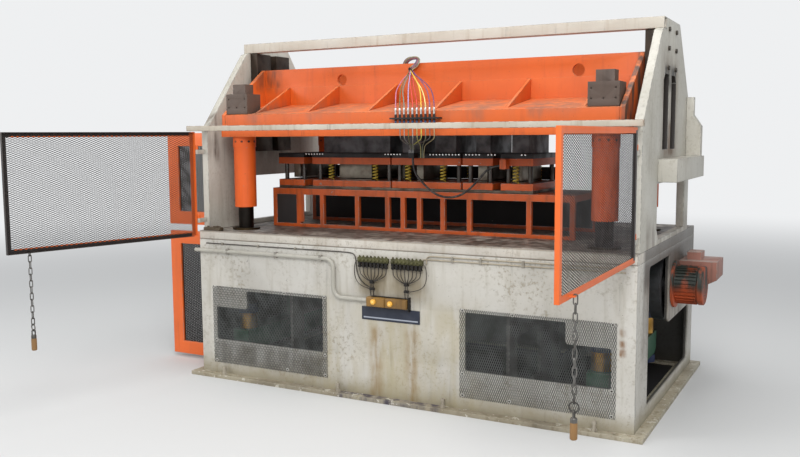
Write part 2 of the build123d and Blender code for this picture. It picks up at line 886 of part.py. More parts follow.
# Corbel beside the motor, with the terminal box on it
corbel_tip = half_length + corbel_reach
corbel_outline = [(half_length, corbel_bottom), (half_length, corbel_top), (corbel_tip, corbel_top),
                  (corbel_tip, corbel_top - corbel_nose)]
with BuildPart() as motor_corbel:
    for y in (front + corbel_front, front + corbel_back - corbel_wall):
        with BuildSketch(Plane.XZ.offset(-y)):
            with BuildLine():
                Polyline(*corbel_outline, close=True)
            make_face()
        extrude(amount=-corbel_wall)
    block((half_length, front + corbel_front, corbel_top - corbel_wall),
          (corbel_tip, front + corbel_back, corbel_top))
    block((corbel_tip - corbel_wall, front + corbel_front, corbel_top - corbel_nose),
          (corbel_tip, front + corbel_back, corbel_top))
    block((half_length + terminal_inset, front + corbel_front + terminal_inset, corbel_top),
          (half_length + terminal_inset + terminal_box,
           front + corbel_front + terminal_inset + 1.5 * terminal_box, corbel_top + 0.6 * terminal_box))
save(motor_corbel, "motor_corbel")

# Die support frame: a slab on bars and foot rails, with a blank panel at its left end
support_front = press_y - support_depth / 2
support_back = press_y + support_depth / 2
slab_low = bed_height + support_height - support_top_rail
slab_high = bed_height + support_height
foot_top = bed_height + support_foot_rail
end_bars = (support_left + support_bar / 2, panel_right, support_right - support_bar / 2)
with BuildPart() as die_support_frame:
    block((support_left, support_front, slab_low), (support_right, support_back, slab_high))
    for near in (support_front, support_back - support_bar):
        block((support_left, near, bed_height), (support_right, near + support_bar, foot_top))
        for x in end_bars + support_bars:
            block((x - support_bar / 2, near, foot_top), (x + support_bar / 2, near + support_bar, slab_low))
    block((panel_right + support_bar / 2, support_front, bed_height + hanging_bar_foot),
          (panel_right + support_bar * 1.5, support_front + hanging_bar_depth, slab_low))
save(die_support_frame, "die_support_frame")

with BuildPart() as support_panel:
    block((support_left + support_bar, support_front + panel_thickness, foot_top),
          (panel_right - support_bar / 2, support_front + 2 * panel_thickness, slab_low))
save(support_panel, "support_panel")

# Dies: shoes on a common sub-plate, with guide pins, return springs and tool blocks
shoe_low = slab_high + sub_plate
shoe_high = shoe_low + shoe_thickness
upper_low = shoe_high + die_gap
upper_high = upper_low + shoe_thickness
plate_high = upper_high + top_plate
die_front = press_y - die_depth / 2
die_back = press_y + die_depth / 2
tool_front = press_y - tool_depth / 2
tool_back = press_y + tool_depth / 2
tool_middle = shoe_high + die_gap * tool_split
pin_places = [(x, press_y + hand * pin_row * die_depth) for left, right in stations
              for x in (left + pin_inset, right - pin_inset) for hand in (-1, 1)]

with BuildPart() as die_sub_plate:
    block((stations[0][0], die_front, slab_high), (stations[-1][1], die_back, shoe_low))
save(die_sub_plate, "die_sub_plate")

with BuildPart() as lower_die_shoes:
    for left, right in stations:
        block((left, die_front, shoe_low), (right, die_back, shoe_high))
save(lower_die_shoes, "lower_die_shoes")

with BuildPart() as upper_die_shoes:
    for left, right in stations:
        block((left, die_front, upper_low), (right, die_back, upper_high))
    for x, y in pin_places:
        turned(pin_d + 2 * running_clearance, upper_low, upper_high, x, y, Mode.SUBTRACT)
    block(*hose_end_block)
save(upper_die_shoes, "upper_die_shoes")

with BuildPart() as die_guide_pins:
    for x, y in pin_places:
        turned(pin_d, shoe_high, upper_low + pin_reach, x, y)
save(die_guide_pins, "die_guide_pins")

with BuildPart() as lower_tool_blocks:
    for left, right in tool_blocks:
        block((left, tool_front, shoe_high), (right, tool_back, tool_middle - tool_gap / 2))
save(lower_tool_blocks, "lower_tool_blocks")

with BuildPart() as upper_tool_blocks:
    for left, right in tool_blocks:
        block((left, tool_front, tool_middle + tool_gap / 2), (right, tool_back, upper_low))
save(upper_tool_blocks, "upper_tool_blocks")

# Return springs of flat wire, wound from the lower shoes to the upper ones
spring_rise = die_gap - spring_wire
spring_radius = (spring_d - spring_wire) / 2
with BuildPart() as die_springs:
    for x in spring_xs:
        for hand in (-1, 1):
            y = press_y + hand * spring_row * die_depth
            with BuildLine():
                coil = Helix(spring_rise / spring_turns, spring_rise, spring_radius,
                             center=(x, y, shoe_high + spring_wire / 2))
            with BuildSketch(Plane(coil @ 0, x_dir=(0, 0, 1), z_dir=coil % 0)):
                Rectangle(spring_wire - 0.2, spring_wire)
            sweep(is_frenet=True)
save(die_springs, "die_springs")

with BuildPart() as die_spacers:
    for left, right in stations:
        block((left, die_front, upper_high), (right, die_back, plate_high))
    for left, right in spacer_blocks:
        block((left, tool_front, plate_high), (right, tool_back, ram_bottom))
    for x, y in pin_places:
        turned(pin_d + pin_bore_spare, upper_high, plate_high, x, y, Mode.SUBTRACT)
    block(*hose_start_block)
save(die_spacers, "die_spacers")


def diamonds(left, right, low, high, pitch_x, pitch_z, strand):
    """Cuts staggered rows of diamond gaps out of the sketch that is being drawn."""
    columns = int((right - left) // pitch_x)
    rows = int((high - low) // pitch_z)
    middle_x = (left + right) / 2
    middle_z = (low + high) / 2
    half_x = pitch_x / 2 - strand
    half_z = pitch_z / 2 - strand * pitch_z / pitch_x
    places = [(middle_x + (i - (columns - 1) / 2) * pitch_x, middle_z + (j - (rows - 1) / 2) * pitch_z)
              for i in range(columns) for j in range(rows)]
    places += [(middle_x + (i - (columns - 2) / 2) * pitch_x, middle_z + (j - (rows - 2) / 2) * pitch_z)
               for i in range(columns - 1) for j in range(rows - 1)]
    with Locations(*places):
        Polygon((-half_x, 0), (0, half_z), (half_x, 0), (0, -half_z), mode=Mode.SUBTRACT)


# Front doors of angle bar and expanded metal, standing open. Each door plane has its
# first axis along the door from the hinge and its second one up.
hinge_y = front - door_setout
door_rows = (door_bottom + hinge_rise, door_top - hinge_rise - hinge_length)
half_depth = door_depth / 2
with BuildPart() as hinge_brackets:
    for side in (-1, 1):
        x = side * door_hinge_x
        for z in door_rows:
            middle = z + hinge_length / 2
            turned(hinge_barrel_d, z, middle, x, hinge_y)
            block((x - hinge_leaf, hinge_y, z), (x + hinge_leaf, front + frame_front, middle))
            turned(hinge_pin_d, middle, z + hinge_length, x, hinge_y)
save(hinge_brackets, "hinge_brackets")

for side, name, opened in ((-1, "left", left_door_angle), (1, "right", right_door_angle)):
    along = (-side * cos(radians(opened)), -sin(radians(opened)), 0)
    normal = (along[1], -along[0], 0)
    hinge = (side * door_hinge_x, hinge_y, 0)
    outward = -side
    door_plane = Plane(hinge, x_dir=along, z_dir=normal)
    face = outward * half_depth
    with BuildPart() as door_frame:
        with BuildSketch(door_plane.offset(-half_depth)):
            with Locations(((door_start + door_width) / 2, (door_bottom + door_top) / 2)):
                Rectangle(door_width - door_start, door_top - door_bottom)
                Rectangle(door_width - door_start - 2 * door_bar, door_top - door_bottom - 2 * door_bar,
                          mode=Mode.SUBTRACT)
        extrude(amount=door_depth)
        with BuildSketch(door_plane.offset(face - outward * door_plate)):
            with Locations(((door_start + door_width) / 2, (door_bottom + door_top) / 2)):
                Rectangle(door_width - door_start - 2 * door_plate,
                          door_top - door_bottom - 2 * door_plate)
        extrude(amount=-outward * (door_depth - door_plate), mode=Mode.SUBTRACT)
        for z in door_rows:
            middle = z + hinge_length / 2 + hinge_end_play
            top = z + hinge_length
            with BuildSketch(door_plane.offset(-hinge_leaf / 2)):
                with Locations((door_start / 2, (middle + top) / 2)):
                    Rectangle(door_start, top - middle)
            extrude(amount=hinge_leaf)
            turned(hinge_barrel_d, middle, top, hinge[0], hinge[1])
            turned(hinge_pin_d + 2 * hinge_clearance, middle, top, hinge[0], hinge[1], Mode.SUBTRACT)
        legs = (chain_from_hinge - staple_width / 2 + staple_d / 4,
                chain_from_hinge + staple_width / 2 - staple_d / 4)
        with BuildSketch(door_plane.offset(face)):
            with Locations(*[(s, chain_eye_z) for s in legs]):
                Rectangle(staple_d / 2, staple_d)
        extrude(amount=outward * (chain_setout + staple_d / 2 - half_depth))
        eye = door_plane.from_local_coords((chain_from_hinge, chain_eye_z, outward * chain_setout))
        with Locations(Plane(eye, x_dir=(0, 0, 1), z_dir=along)):
            Cylinder(staple_d / 2, staple_width)
    save(door_frame, name + "_door_frame")

    with BuildPart() as door_mesh:
        with BuildSketch(door_plane.offset(face - outward * door_plate)):
            with Locations(((door_start + door_width) / 2, (door_bottom + door_top) / 2)):
                Rectangle(door_width - door_start - 2 * door_plate,
                          door_top - door_bottom - 2 * door_plate)
            diamonds(door_start + door_bar, door_width - door_bar, door_bottom + door_bar,
                     door_top - door_bar, door_pitch_x, door_pitch_z, door_strand)
        extrude(amount=-outward * door_mesh_depth)
    save(door_mesh, name + "_door_mesh")

    # Chain of welded links with a ring and a padlock, hung from the door's staple
    reach = link_pitch / 2 + chain_wire + link_play
    first_top = chain_eye_z + staple_d / 2 + link_play + chain_wire
    with BuildPart() as chain:
        for i in range(link_count):
            z = first_top - i * link_pitch - reach
            if i % 2:
                flat = Plane((eye.X, eye.Y, z), x_dir=along, z_dir=normal)
            else:
                flat = Plane((eye.X, eye.Y, z), x_dir=normal, z_dir=(-along[0], -along[1], 0))
            with BuildSketch(flat.offset(-chain_wire / 2)) as link:
                Rectangle(link_width, 2 * reach)
                chamfer(link.vertices(), link_chamfer + 0.6 * chain_wire)
            extrude(amount=chain_wire)
            with BuildSketch(flat.offset(-chain_wire / 2)) as bore:
                Rectangle(link_width - 2 * chain_wire, 2 * (reach - chain_wire))
                chamfer(bore.vertices(), link_chamfer)
            extrude(amount=chain_wire, mode=Mode.SUBTRACT)
        last_low = first_top - (link_count - 1) * link_pitch - 2 * reach
        ring_top = last_low + chain_wire + ring_play + ring_wire
        ring_z = ring_top - ring_d / 2
        across = Plane((eye.X, eye.Y, ring_z), x_dir=normal, z_dir=(-along[0], -along[1], 0))
        with BuildSketch(across.offset(-ring_wire / 2)):
            Circle(ring_d / 2)
            Circle(ring_d / 2 - ring_wire, mode=Mode.SUBTRACT)
        extrude(amount=ring_wire)
        shackle_top = ring_z - ring_d / 2 + ring_wire + ring_play + shackle_wire
        lock_top = shackle_top - shackle_height
        flat = Plane((eye.X, eye.Y, lock_top), x_dir=along, z_dir=normal)
        shackle_half = lock_width / 2 - shackle_wire / 2
        with BuildSketch(flat.offset(-shackle_wire / 2)) as shackle:
            with Locations((0, shackle_height / 2)):
                Rectangle(2 * shackle_half, shackle_height)
            chamfer(shackle.vertices().group_by(Axis.Y)[-1], shackle_wire * 1.2)
        extrude(amount=shackle_wire)
        with BuildSketch(flat.offset(-shackle_wire / 2)) as inside:
            with Locations((0, (shackle_height - shackle_wire) / 2)):
                Rectangle(2 * (shackle_half - shackle_wire), shackle_height - shackle_wire)
            chamfer(inside.vertices().group_by(Axis.Y)[-1], shackle_wire / 8)
        extrude(amount=shackle_wire, mode=Mode.SUBTRACT)
        with BuildSketch(flat.offset(-lock_depth / 2)) as body:
            with Locations((0, -lock_height / 2)):
                Rectangle(lock_width, lock_height)
            chamfer(body.vertices(), lock_chamfer)
        extrude(amount=lock_depth)
    save(chain, name + "_chain")

# Guards at the left end: a lower and an upper framed panel across the line
guard_y = front + end_guard_setback
guard_left = -half_length - end_guard_reach
guard_panels = ((end_guard_bottom, end_guard_split - end_guard_gap / 2),
                (end_guard_split + end_guard_gap / 2, end_guard_top))
middle_x = -half_length - end_guard_reach / 2
with BuildPart() as end_guard_frames:
    for low, high in guard_panels:
        with BuildSketch(Plane.XZ.offset(-guard_y - end_guard_depth / 2)):
            with Locations((middle_x, (low + high) / 2)):
                Rectangle(end_guard_reach, high - low)
                Rectangle(end_guard_reach - 2 * end_guard_bar, high - low - 2 * end_guard_bar,
                          mode=Mode.SUBTRACT)
        extrude(amount=end_guard_depth)
save(end_guard_frames, "end_guard_frames")

with BuildPart() as end_guard_mesh_panels:
    for low, high in guard_panels:
        with BuildSketch(Plane.XZ.offset(-guard_y - end_guard_mesh / 2)):
            with Locations((middle_x, (low + high) / 2)):
                Rectangle(end_guard_reach - 2 * end_guard_bar, high - low - 2 * end_guard_bar)
            diamonds(guard_left + end_guard_bar, -half_length - end_guard_bar, low + end_guard_bar,
                     high - end_guard_bar, end_guard_pitch_x, end_guard_pitch_z, door_strand)
        extrude(amount=end_guard_mesh)
save(end_guard_mesh_panels, "end_guard_mesh")

# Guard sheets of expanded metal over the windows of the front plate
with BuildPart() as window_guard_sheets:
    for side in (-1, 1):
        near = side * sheet_inner_x
        far = side * sheet_outer_x
        with BuildSketch(Plane.XZ.offset(-front)):
            with Locations(((near + far) / 2, (sheet_bottom + sheet_top) / 2)):
                Rectangle(abs(far - near), sheet_top - sheet_bottom)
            diamonds(min(near, far) + sheet_margin, max(near, far) - sheet_margin,
                     sheet_bottom + sheet_margin, sheet_top - sheet_margin, mesh_pitch_x, mesh_pitch_z,
                     mesh_strand)
        extrude(amount=sheet_thickness)
save(window_guard_sheets, "window_guard_sheets")

# Conduit along the front plate, down beside the middle and into the left valve box
conduit_y = front - conduit_d / 2
with BuildPart() as conduit_pipe:
    with BuildLine():
        run = FilletPolyline((conduit_start_x, conduit_y, conduit_z), (conduit_drop_x, conduit_y, conduit_z),
                             (conduit_drop_x, conduit_y, conduit_low_z),
                             (box_xs[0] - box_width / 2, conduit_y, conduit_low_z), radius=conduit_bend)
    with BuildSketch(Plane(run @ 0, z_dir=run % 0)):
        Circle(conduit_d / 2)
    sweep()
save(conduit_pipe, "conduit_pipe")


def tube(points, across):
    """Adds a thin six-sided tube that runs straight from point to point."""
    with BuildLine() as run:
        Polyline(*points)
    with BuildSketch(Plane(run.line @ 0, z_dir=run.line % 0)) as section:
        RegularPolygon(across / 2, 6)
    sweep(section.sketch, path=run.line, transition=Transition.RIGHT)


# Lubrication: two manifolds with their valves, and the tubes that fan down to the boxes
block_y = front - lube_block_depth
tube_y = front - lube_block_depth / 2
valve_pitch = lube_block_width / lube_valves
valve_xs = [(middle, [middle + (i - (lube_valves - 1) / 2) * valve_pitch for i in range(lube_valves)])
            for middle in lube_block_xs]
valve_low = lube_block_z - lube_valve_height
with BuildPart() as lube_manifolds:
    for middle, xs in valve_xs:
        block((middle - lube_block_width / 2, block_y, lube_block_z),
              (middle + lube_block_width / 2, front, lube_block_z + lube_block_height))
        for x in xs:
            with BuildSketch(Plane.XY.offset(valve_low)):
                with Locations((x, tube_y)):
                    RegularPolygon(lube_valve_d / 2, 6)
            extrude(amount=lube_valve_height)
save(lube_manifolds, "lube_manifolds")

with BuildPart() as lube_tubes:
    for (middle, xs), (fan_x, fan_z) in zip(valve_xs, lube_fans):
        for x in xs:
            tube([(x, tube_y, valve_low), (x, tube_y, valve_low - tube_lead),
                  (fan_x, tube_y, fan_z)], lube_tube_d)
        with BuildSketch(Plane.XY.offset(box_z + box_height)):
            with Locations((fan_x, tube_y)):
                RegularPolygon(lube_bundle_d / 2, 6)
        extrude(amount=fan_z - box_z - box_height)
    tube([(-lube_line_reach, front - lube_line_d / 2, lube_line_z),
          (lube_line_reach, front - lube_line_d / 2, lube_line_z)], lube_line_d)
save(lube_tubes, "lube_tubes")

# Valve boxes with their hand knobs
with BuildPart() as valve_boxes:
    for x, (knob_x, knob_z) in zip(box_xs, knob_places):
        block((x - box_width / 2, front - box_depth, box_z), (x + box_width / 2, front, box_z + box_height))
        with BuildSketch(Plane.XZ.offset(-front + box_depth)):
            with Locations((knob_x, knob_z)):
                RegularPolygon(knob_d / 2, 12)
        extrude(amount=knob_depth)
save(valve_boxes, "valve_boxes")

with BuildPart() as name_plate:
    block((name_plate_left, front - name_plate_thickness, name_plate_bottom),
          (name_plate_right, front, name_plate_bottom + name_plate_height))
save(name_plate, "name_plate")

# Air bulkhead on the ram's front, its fittings and the tubes to the ram and the dies
fitting_y = ram_front - bulkhead_setout
fitting_xs = [fitting_first_x + i * fitting_pitch for i in range(fitting_count)]
bulkhead_top = bulkhead_z + bulkhead_thickness
fitting_top = bulkhead_top + fitting_up
fitting_low = bulkhead_z - fitting_down
with BuildPart() as air_bulkhead:
    block((bulkhead_left, fitting_y - bulkhead_depth / 2, bulkhead_z),
          (bulkhead_right, ram_front, bulkhead_top))
    for x in fitting_xs:
        turned(fitting_d + 2 * running_clearance, bulkhead_z, bulkhead_top, x, fitting_y, Mode.SUBTRACT)
save(air_bulkhead, "air_bulkhead")

with BuildPart() as air_fittings:
    for x in fitting_xs:
        turned(fitting_d, fitting_low, fitting_top, x, fitting_y)
save(air_fittings, "air_fittings")

web_front = press_y - web_face
with BuildPart() as air_tubes:
    for i, x in enumerate(fitting_xs):
        top = (bundle_x + (i - (fitting_count - 1) / 2) * bundle_pitch, web_front - tube_d / 2, bundle_z)
        tube([(x, fitting_y, fitting_top), (x, fitting_y, fitting_top + tube_lead), top,
              (top[0], top[1], bundle_top)], tube_d)
    for i, end_x in drops:
        tube([(fitting_xs[i], fitting_y, fitting_low), (fitting_xs[i], fitting_y, drop_start),
              (end_x, hose_points[0][1], drop_knee), (end_x, hose_points[0][1], hose_start_block[1][2])],
             tube_d)
save(air_tubes, "air_tubes")


def bend_radii(points):
    """Radius for each corner of a route: 0.45 of its shorter run over the half turn's tangent."""
    corners = [Vector(*p) for p in points]
    radii = []
    for before, here, after in zip(corners, corners[1:], corners[2:]):
        near = here - before
        far = after - here
        half_turn = radians(near.get_angle(far)) / 2
        radii.append(round(0.45 * min(near.length, far.length) / tan(half_turn), 1))
    return radii


# The hose: straight runs joined by arcs that touch them
with BuildPart() as die_hose:
    hose_radii = bend_radii(hose_points)
    print("die_hose arc radii, mm:", hose_radii)
    with BuildLine() as hose_run:
        FilletPolyline(*hose_points, radius=hose_radii)
    with BuildSketch(Plane(hose_run.line @ 0, z_dir=hose_run.line % 0)):
        Circle(hose_d / 2)
    sweep(path=hose_run.line)
save(die_hose, "die_hose")
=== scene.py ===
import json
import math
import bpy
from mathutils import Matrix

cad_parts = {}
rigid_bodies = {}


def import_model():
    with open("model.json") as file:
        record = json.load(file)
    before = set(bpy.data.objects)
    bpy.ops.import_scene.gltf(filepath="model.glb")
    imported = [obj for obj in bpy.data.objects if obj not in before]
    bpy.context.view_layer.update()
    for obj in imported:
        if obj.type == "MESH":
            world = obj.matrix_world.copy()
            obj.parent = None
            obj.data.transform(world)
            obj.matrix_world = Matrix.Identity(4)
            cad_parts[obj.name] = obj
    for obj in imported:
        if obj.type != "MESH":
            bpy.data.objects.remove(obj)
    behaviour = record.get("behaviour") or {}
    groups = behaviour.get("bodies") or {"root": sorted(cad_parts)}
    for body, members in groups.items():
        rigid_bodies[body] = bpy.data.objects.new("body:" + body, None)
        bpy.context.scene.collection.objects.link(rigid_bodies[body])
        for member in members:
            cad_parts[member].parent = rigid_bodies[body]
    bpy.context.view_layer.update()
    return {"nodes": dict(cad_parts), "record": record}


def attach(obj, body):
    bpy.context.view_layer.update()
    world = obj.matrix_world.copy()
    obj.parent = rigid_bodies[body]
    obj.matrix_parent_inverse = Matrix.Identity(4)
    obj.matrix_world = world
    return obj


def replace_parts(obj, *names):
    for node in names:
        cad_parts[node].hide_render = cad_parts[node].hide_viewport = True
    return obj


bl_info = {
    "name": "Strip line press",
    "version": (1, 0, 0),
    "blender": (4, 5, 0),
    "location": "3D View > Sidebar > Press",
    "description": "Dresses the four-rod strip press: worn paint, expanded metal, chains, hoses and stage",
    "category": "Object",
}

import bmesh
import bpy
import numpy as np
from bpy.props import FloatProperty, FloatVectorProperty, IntProperty, PointerProperty

for leftover in list(bpy.data.objects):
    bpy.data.objects.remove(leftover)
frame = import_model()
body_of = {node: body for body, nodes in frame["record"]["behaviour"]["bodies"].items() for node in nodes}

# Places in metres of the shared frame: the base's front face, lines that lie on it, the door
# hinges, the middle of the ram, and the ports and junctions of the lubrication lines.
FRONT = -0.86
WALL = FRONT - 0.005
HINGE_X = 1.484
HINGE_Y = -0.885
PRESS_Y = -0.11
MANIFOLDS = (-0.113, 0.122)
JUNCTIONS = (-0.120, 0.120)
PORTS = (np.arange(8) - 3.5) * 0.0268
UP, DOWN, OUT = (0, 0, 1), (0, 0, -1), (0, -1, 0)
# Each door's side, its name and how many degrees open it is drawn.
DOORS = ((-1, "left", 105), (1, "right", 90))
# Colours as 0 to 255 swatches, and the backdrop's in scene linear numbers.
# SHADE_BLACK is painted shade, for the inside of the base and the ram's underside.
SHADE_BLACK = (38, 35, 33)
GRIME = (58, 46, 36)
BARE = (142, 140, 134)
BACKDROP = (0.86, 0.87, 0.88, 1.0)


def paint(red, green, blue):
    """A colour read off a 0 to 255 swatch, turned into scene linear numbers."""
    swatch = np.array([red, green, blue]) / 255
    linear = np.where(swatch <= 0.04045, swatch / 12.92, ((swatch + 0.055) / 1.055) ** 2.4)
    return (*linear.round(4).tolist(), 1.0)


def row(x, y, z):
    """Points from coordinates that may each be one number or an array."""
    return np.stack(np.broadcast_arrays(x, y, z), axis=-1)


def placed(name, data, location=(0, 0, 0)):
    """An object with this data, linked into the scene."""
    made = bpy.data.objects.new(name, data)
    made.location = location
    bpy.context.scene.collection.objects.link(made)
    return made


# ---------------------------------------------------------------- shader wiring
class Signal:
    """An output socket. Arithmetic on it adds the Math nodes that work it out."""

    def __init__(self, recipe, socket):
        self.recipe = recipe
        self.socket = socket

    def _math(self, operation, first, second=0.0):
        return self.recipe.add("ShaderNodeMath", {"operation": operation}, {0: first, 1: second})

    def __add__(self, other):
        return self._math("ADD", self, other)

    def __radd__(self, other):
        return self._math("ADD", other, self)

    def __sub__(self, other):
        return self._math("SUBTRACT", self, other)

    def __rsub__(self, other):
        return self._math("SUBTRACT", other, self)

    def __mul__(self, other):
        return self._math("MULTIPLY", self, other)

    def __rmul__(self, other):
        return self._math("MULTIPLY", other, self)

    def __abs__(self):
        return self._math("ABSOLUTE", self)

    def __or__(self, other):
        return self._math("MAXIMUM", self, other)

    def step(self, low, high):
        """Smooth step: 0 below low, 1 above high. Works downwards when low is the larger."""
        sockets = {0: self, 1: min(low, high), 2: max(low, high)}
        rise = self.recipe.add("ShaderNodeMapRange", {"interpolation_type": "SMOOTHSTEP"}, sockets)
        return rise if low <= high else 1 - rise


class Recipe:
    """One material's or world's nodes. add() takes a node's type, its settings, then its sockets'
    values or links."""

    def __init__(self, name, kind="materials"):
        self.block = getattr(bpy.data, kind).new(name)
        self.block.use_nodes = True
        self.tree = self.block.node_tree
        self.tree.nodes.clear()
        self.coords = None

    def add(self, kind, settings=None, sockets=None, output=0):
        node = self.tree.nodes.new(kind)
        for key, value in (settings or {}).items():
            setattr(node, key, value)
        for key, value in (sockets or {}).items():
            if isinstance(value, Signal):
                self.tree.links.new(value.socket, node.inputs[key])
            else:
                node.inputs[key].default_value = value
        return Signal(self, node.outputs[output]) if len(node.outputs) else None

    def place(self):
        """Object coordinates, in metres of the shared frame."""
        if self.coords is None:
            self.coords = self.add("ShaderNodeTexCoord", output=3)
        return self.coords

    def axis(self, index):
        return self.add("ShaderNodeSeparateXYZ", None, {0: self.place()}, index)

    def facing(self, index):
        """One component of the true surface normal, such as 2 for how far a face looks up."""
        normal = self.add("ShaderNodeNewGeometry", output=1)
        return self.add("ShaderNodeSeparateXYZ", None, {0: normal}, index)

    def moved(self, size, stretch, offset):
        """The place in units of size metres, drawn out along an axis by stretch, then moved."""
        scale = tuple(1 / (size * s) for s in stretch)
        return self.add("ShaderNodeMapping", None, {0: self.place(), 1: offset, 3: scale})

    def cloud(self, size, stretch=(1, 1, 1), detail=4, seed=0.0, rough=0.55):
        """Noise with blobs about size metres across."""
        moved = self.moved(size, stretch, (seed, seed * 1.7, -seed))
        sockets = {"Vector": moved, "Scale": 1.0, "Detail": detail, "Roughness": rough}
        return self.add("ShaderNodeTexNoise", None, sockets)

    def cells(self, size, seed):
        """Distance to the nearest of many scattered points, in units of size."""
        moved = self.moved(size, (1, 1, 1), (seed, -seed, seed))
        return self.add("ShaderNodeTexVoronoi", None, {"Vector": moved, "Scale": 1.0})

    def mix(self, factor, first, second):
        """Blend of two colours. One given as three numbers is a swatch for paint()."""
        first, second = (paint(*c) if isinstance(c, tuple) and len(c) == 3 else c for c in (first, second))
        return self.add("ShaderNodeMix", {"data_type": "RGBA"}, {0: factor, 6: first, 7: second}, 2)

    def patch(self, centre, half, soft=0.02, ragged=0.0):
        """1 inside a box about a centre, falling to 0 over soft metres, its edge moved by noise."""
        shift = (self.cloud(max(ragged, 0.01) * 2, detail=3) - 0.5) * ragged if ragged else 0.0
        mask = None
        for index, (middle, reach) in enumerate(zip(centre, half)):
            if reach is None:
                continue
            side = (abs(self.axis(index) - middle) + shift).step(reach + soft, reach - soft)
            mask = side if mask is None else mask * side
        return mask

    def finish(self, colour, roughness, metallic, bumps):
        """Shader and output. bumps are (height signal, depth in metres) pairs, stacked."""
        stack = {}
        for height, depth in bumps:
            sockets = {"Height": height, "Strength": 1.0, "Distance": depth, **stack}
            stack = {"Normal": self.add("ShaderNodeBump", None, sockets)}
        sockets = {"Base Color": colour, "Roughness": roughness, "Metallic": metallic, **stack}
        shader = self.add("ShaderNodeBsdfPrincipled", None, sockets)
        self.add("ShaderNodeOutputMaterial", None, {0: shader})
        return self.block


finishes = {}


def kept(make):
    """Makes each finish once and hands the same one out afterwards."""
    def once(name, *values, **options):
        if name not in finishes:
            finishes[name] = make(name, *values, **options)
        return finishes[name]
    return once


@kept
def worn_paint(name, base, shade, streak=0.35, dust=None, dust_and_top_light_amount=0.0, grime=0.25, chips=0.1,
               stains_and_shade=(), rough=0.55, edge=BARE, foot=None, inside=None, mottle=0.0):
    """Brushed machine paint: cloudy tone, vertical streaks, grime, chips, worn corners, stains. It paints
    light and shade too: dust with painted top light on upward faces, listed patches of painted shade, and
    painted shade in the inside box.
    """
    r = Recipe(name)
    tone = r.cloud(0.35, detail=5)
    colour = r.mix((tone - 0.35) * 2.2 * streak + 0.1, base, shade)
    runs = r.cloud(0.05, (1, 1, 9), detail=5, seed=3.1).step(0.52, 0.72)
    colour = r.mix(runs * streak, colour, shade)
    # Upward faces take the dust colour: real dust, and painted top light where that colour is the lighter
    # one.
    if dust is not None:
        dust_and_top_light = r.facing(2).step(0.12, 0.7) * r.cloud(0.25, detail=6, seed=5.0).step(0.25, 0.6)
        colour = r.mix(dust_and_top_light * dust_and_top_light_amount, colour, dust)
    drips = r.cloud(0.035, (1, 1, 14), detail=4, seed=9.0).step(0.62, 0.78)
    dirt = r.cloud(0.5, detail=6, seed=1.3).step(0.48, 0.75)
    colour = r.mix((drips * 0.8 + dirt * 0.5) * grime, colour, GRIME)
    specks = r.cells(0.022, seed=2.0).step(0.13, 0.07) * r.cloud(0.12, seed=7.0).step(0.45, 0.6)
    colour = r.mix(specks * 0.55 * min(1.0, grime * 2.5), colour, GRIME)
    if mottle:
        blots = r.cloud(0.022, detail=7, seed=11.0, rough=0.65).step(0.5, 0.66)
        colour = r.mix(blots * r.cloud(0.3, seed=12.0).step(0.3, 0.65) * mottle, colour, (122, 108, 82))
    if foot is not None:
        low, high, tint, amount = foot
        ragged = (r.axis(2) + (r.cloud(0.09, (1, 1, 2), seed=4.0) - 0.5) * (high - low)).step(high, low)
        colour = r.mix(ragged * amount, colour, tint)
    # Patches: real stains, and the painted shade that some finishes list here.
    for centre, half, soft, tint, amount, ragged in stains_and_shade:
        mask = r.patch(centre, half, soft, ragged)
        if ragged:
            mask = mask * r.cloud(0.06, (1, 1, 5), detail=5, seed=centre[0] * 3).step(0.3, 0.62)
        colour = r.mix(mask * amount, colour, tint)
    # Painted shade: faces in the inside box are painted near black.
    if inside is not None:
        colour = r.mix(r.patch(*inside, 0.004) * (0.97 - tone * 0.2), colour, SHADE_BLACK)
    worn = r.add("ShaderNodeAttribute", {"attribute_name": "worn"}, output=2)
    rubbed = worn * r.cloud(0.03, detail=5, seed=6.0).step(0.42, 0.55)
    flakes = r.cloud(0.05, detail=8, seed=8.0, rough=0.7).step(0.70 - 0.1 * chips, 0.72 - 0.1 * chips)
    bare = rubbed | flakes * min(1.0, chips * 4)
    colour = r.mix(bare * 0.8, colour, edge)
    gloss = rough + (tone - 0.5) * 0.3 + dirt * 0.12
    bumps = ((r.cloud(0.004, detail=2), 0.0004), (1 - bare, 0.0005), (tone, 0.002))
    return r.finish(colour, gloss, bare * 0.35, bumps)


def ground(name, grain):
    """Recipe of a ground surface, with its oil film and its fine lines along one axis."""
    r = Recipe(name)
    return r, r.cloud(0.09, detail=6, seed=2.0).step(0.35, 0.7), r.cloud(0.003, grain, detail=3)


@kept
def machined(name, base, shade, rough=0.35, oil=0.4, grain=(1, 1, 12), metal=0.9):
    """Turned or ground steel: fine grain along one axis, oil film and brown patches."""
    r, film, lines = ground(name, grain)
    colour = r.mix(film * oil, base, shade)
    colour = r.mix((lines - 0.4) * 0.5, colour, shade)
    gloss = rough + film * 0.2 + (lines - 0.5) * 0.15
    return r.finish(colour, gloss, metal, ((lines, 0.0003), (film, 0.0004)))


@kept
def cast(name, base, shade, rough=0.6, metal=0.0, oil=0.3):
    """Sand-cast or rough metal: pitted skin with dark oil in the hollows."""
    r = Recipe(name)
    pits = r.cloud(0.008, detail=5)
    patches = r.cloud(0.08, detail=5, seed=3.0).step(0.4, 0.7)
    colour = r.mix(patches * oil, base, shade)
    colour = r.mix(pits.step(0.45, 0.3) * 0.5, colour, GRIME)
    return r.finish(colour, rough + (pits - 0.5) * 0.2, metal, ((pits, 0.0008),))


@kept
def moulded(name, base, rough=0.4, dust=0.15):
    """Plastic or rubber: even colour, slight bloom and dust, fine skin."""
    r = Recipe(name)
    bloom = r.cloud(0.03, detail=4).step(0.4, 0.75)
    colour = r.mix(bloom * dust, base, (150, 144, 134))
    return r.finish(colour, rough + bloom * 0.15, 0.0, ((r.cloud(0.002, detail=2), 0.0002),))


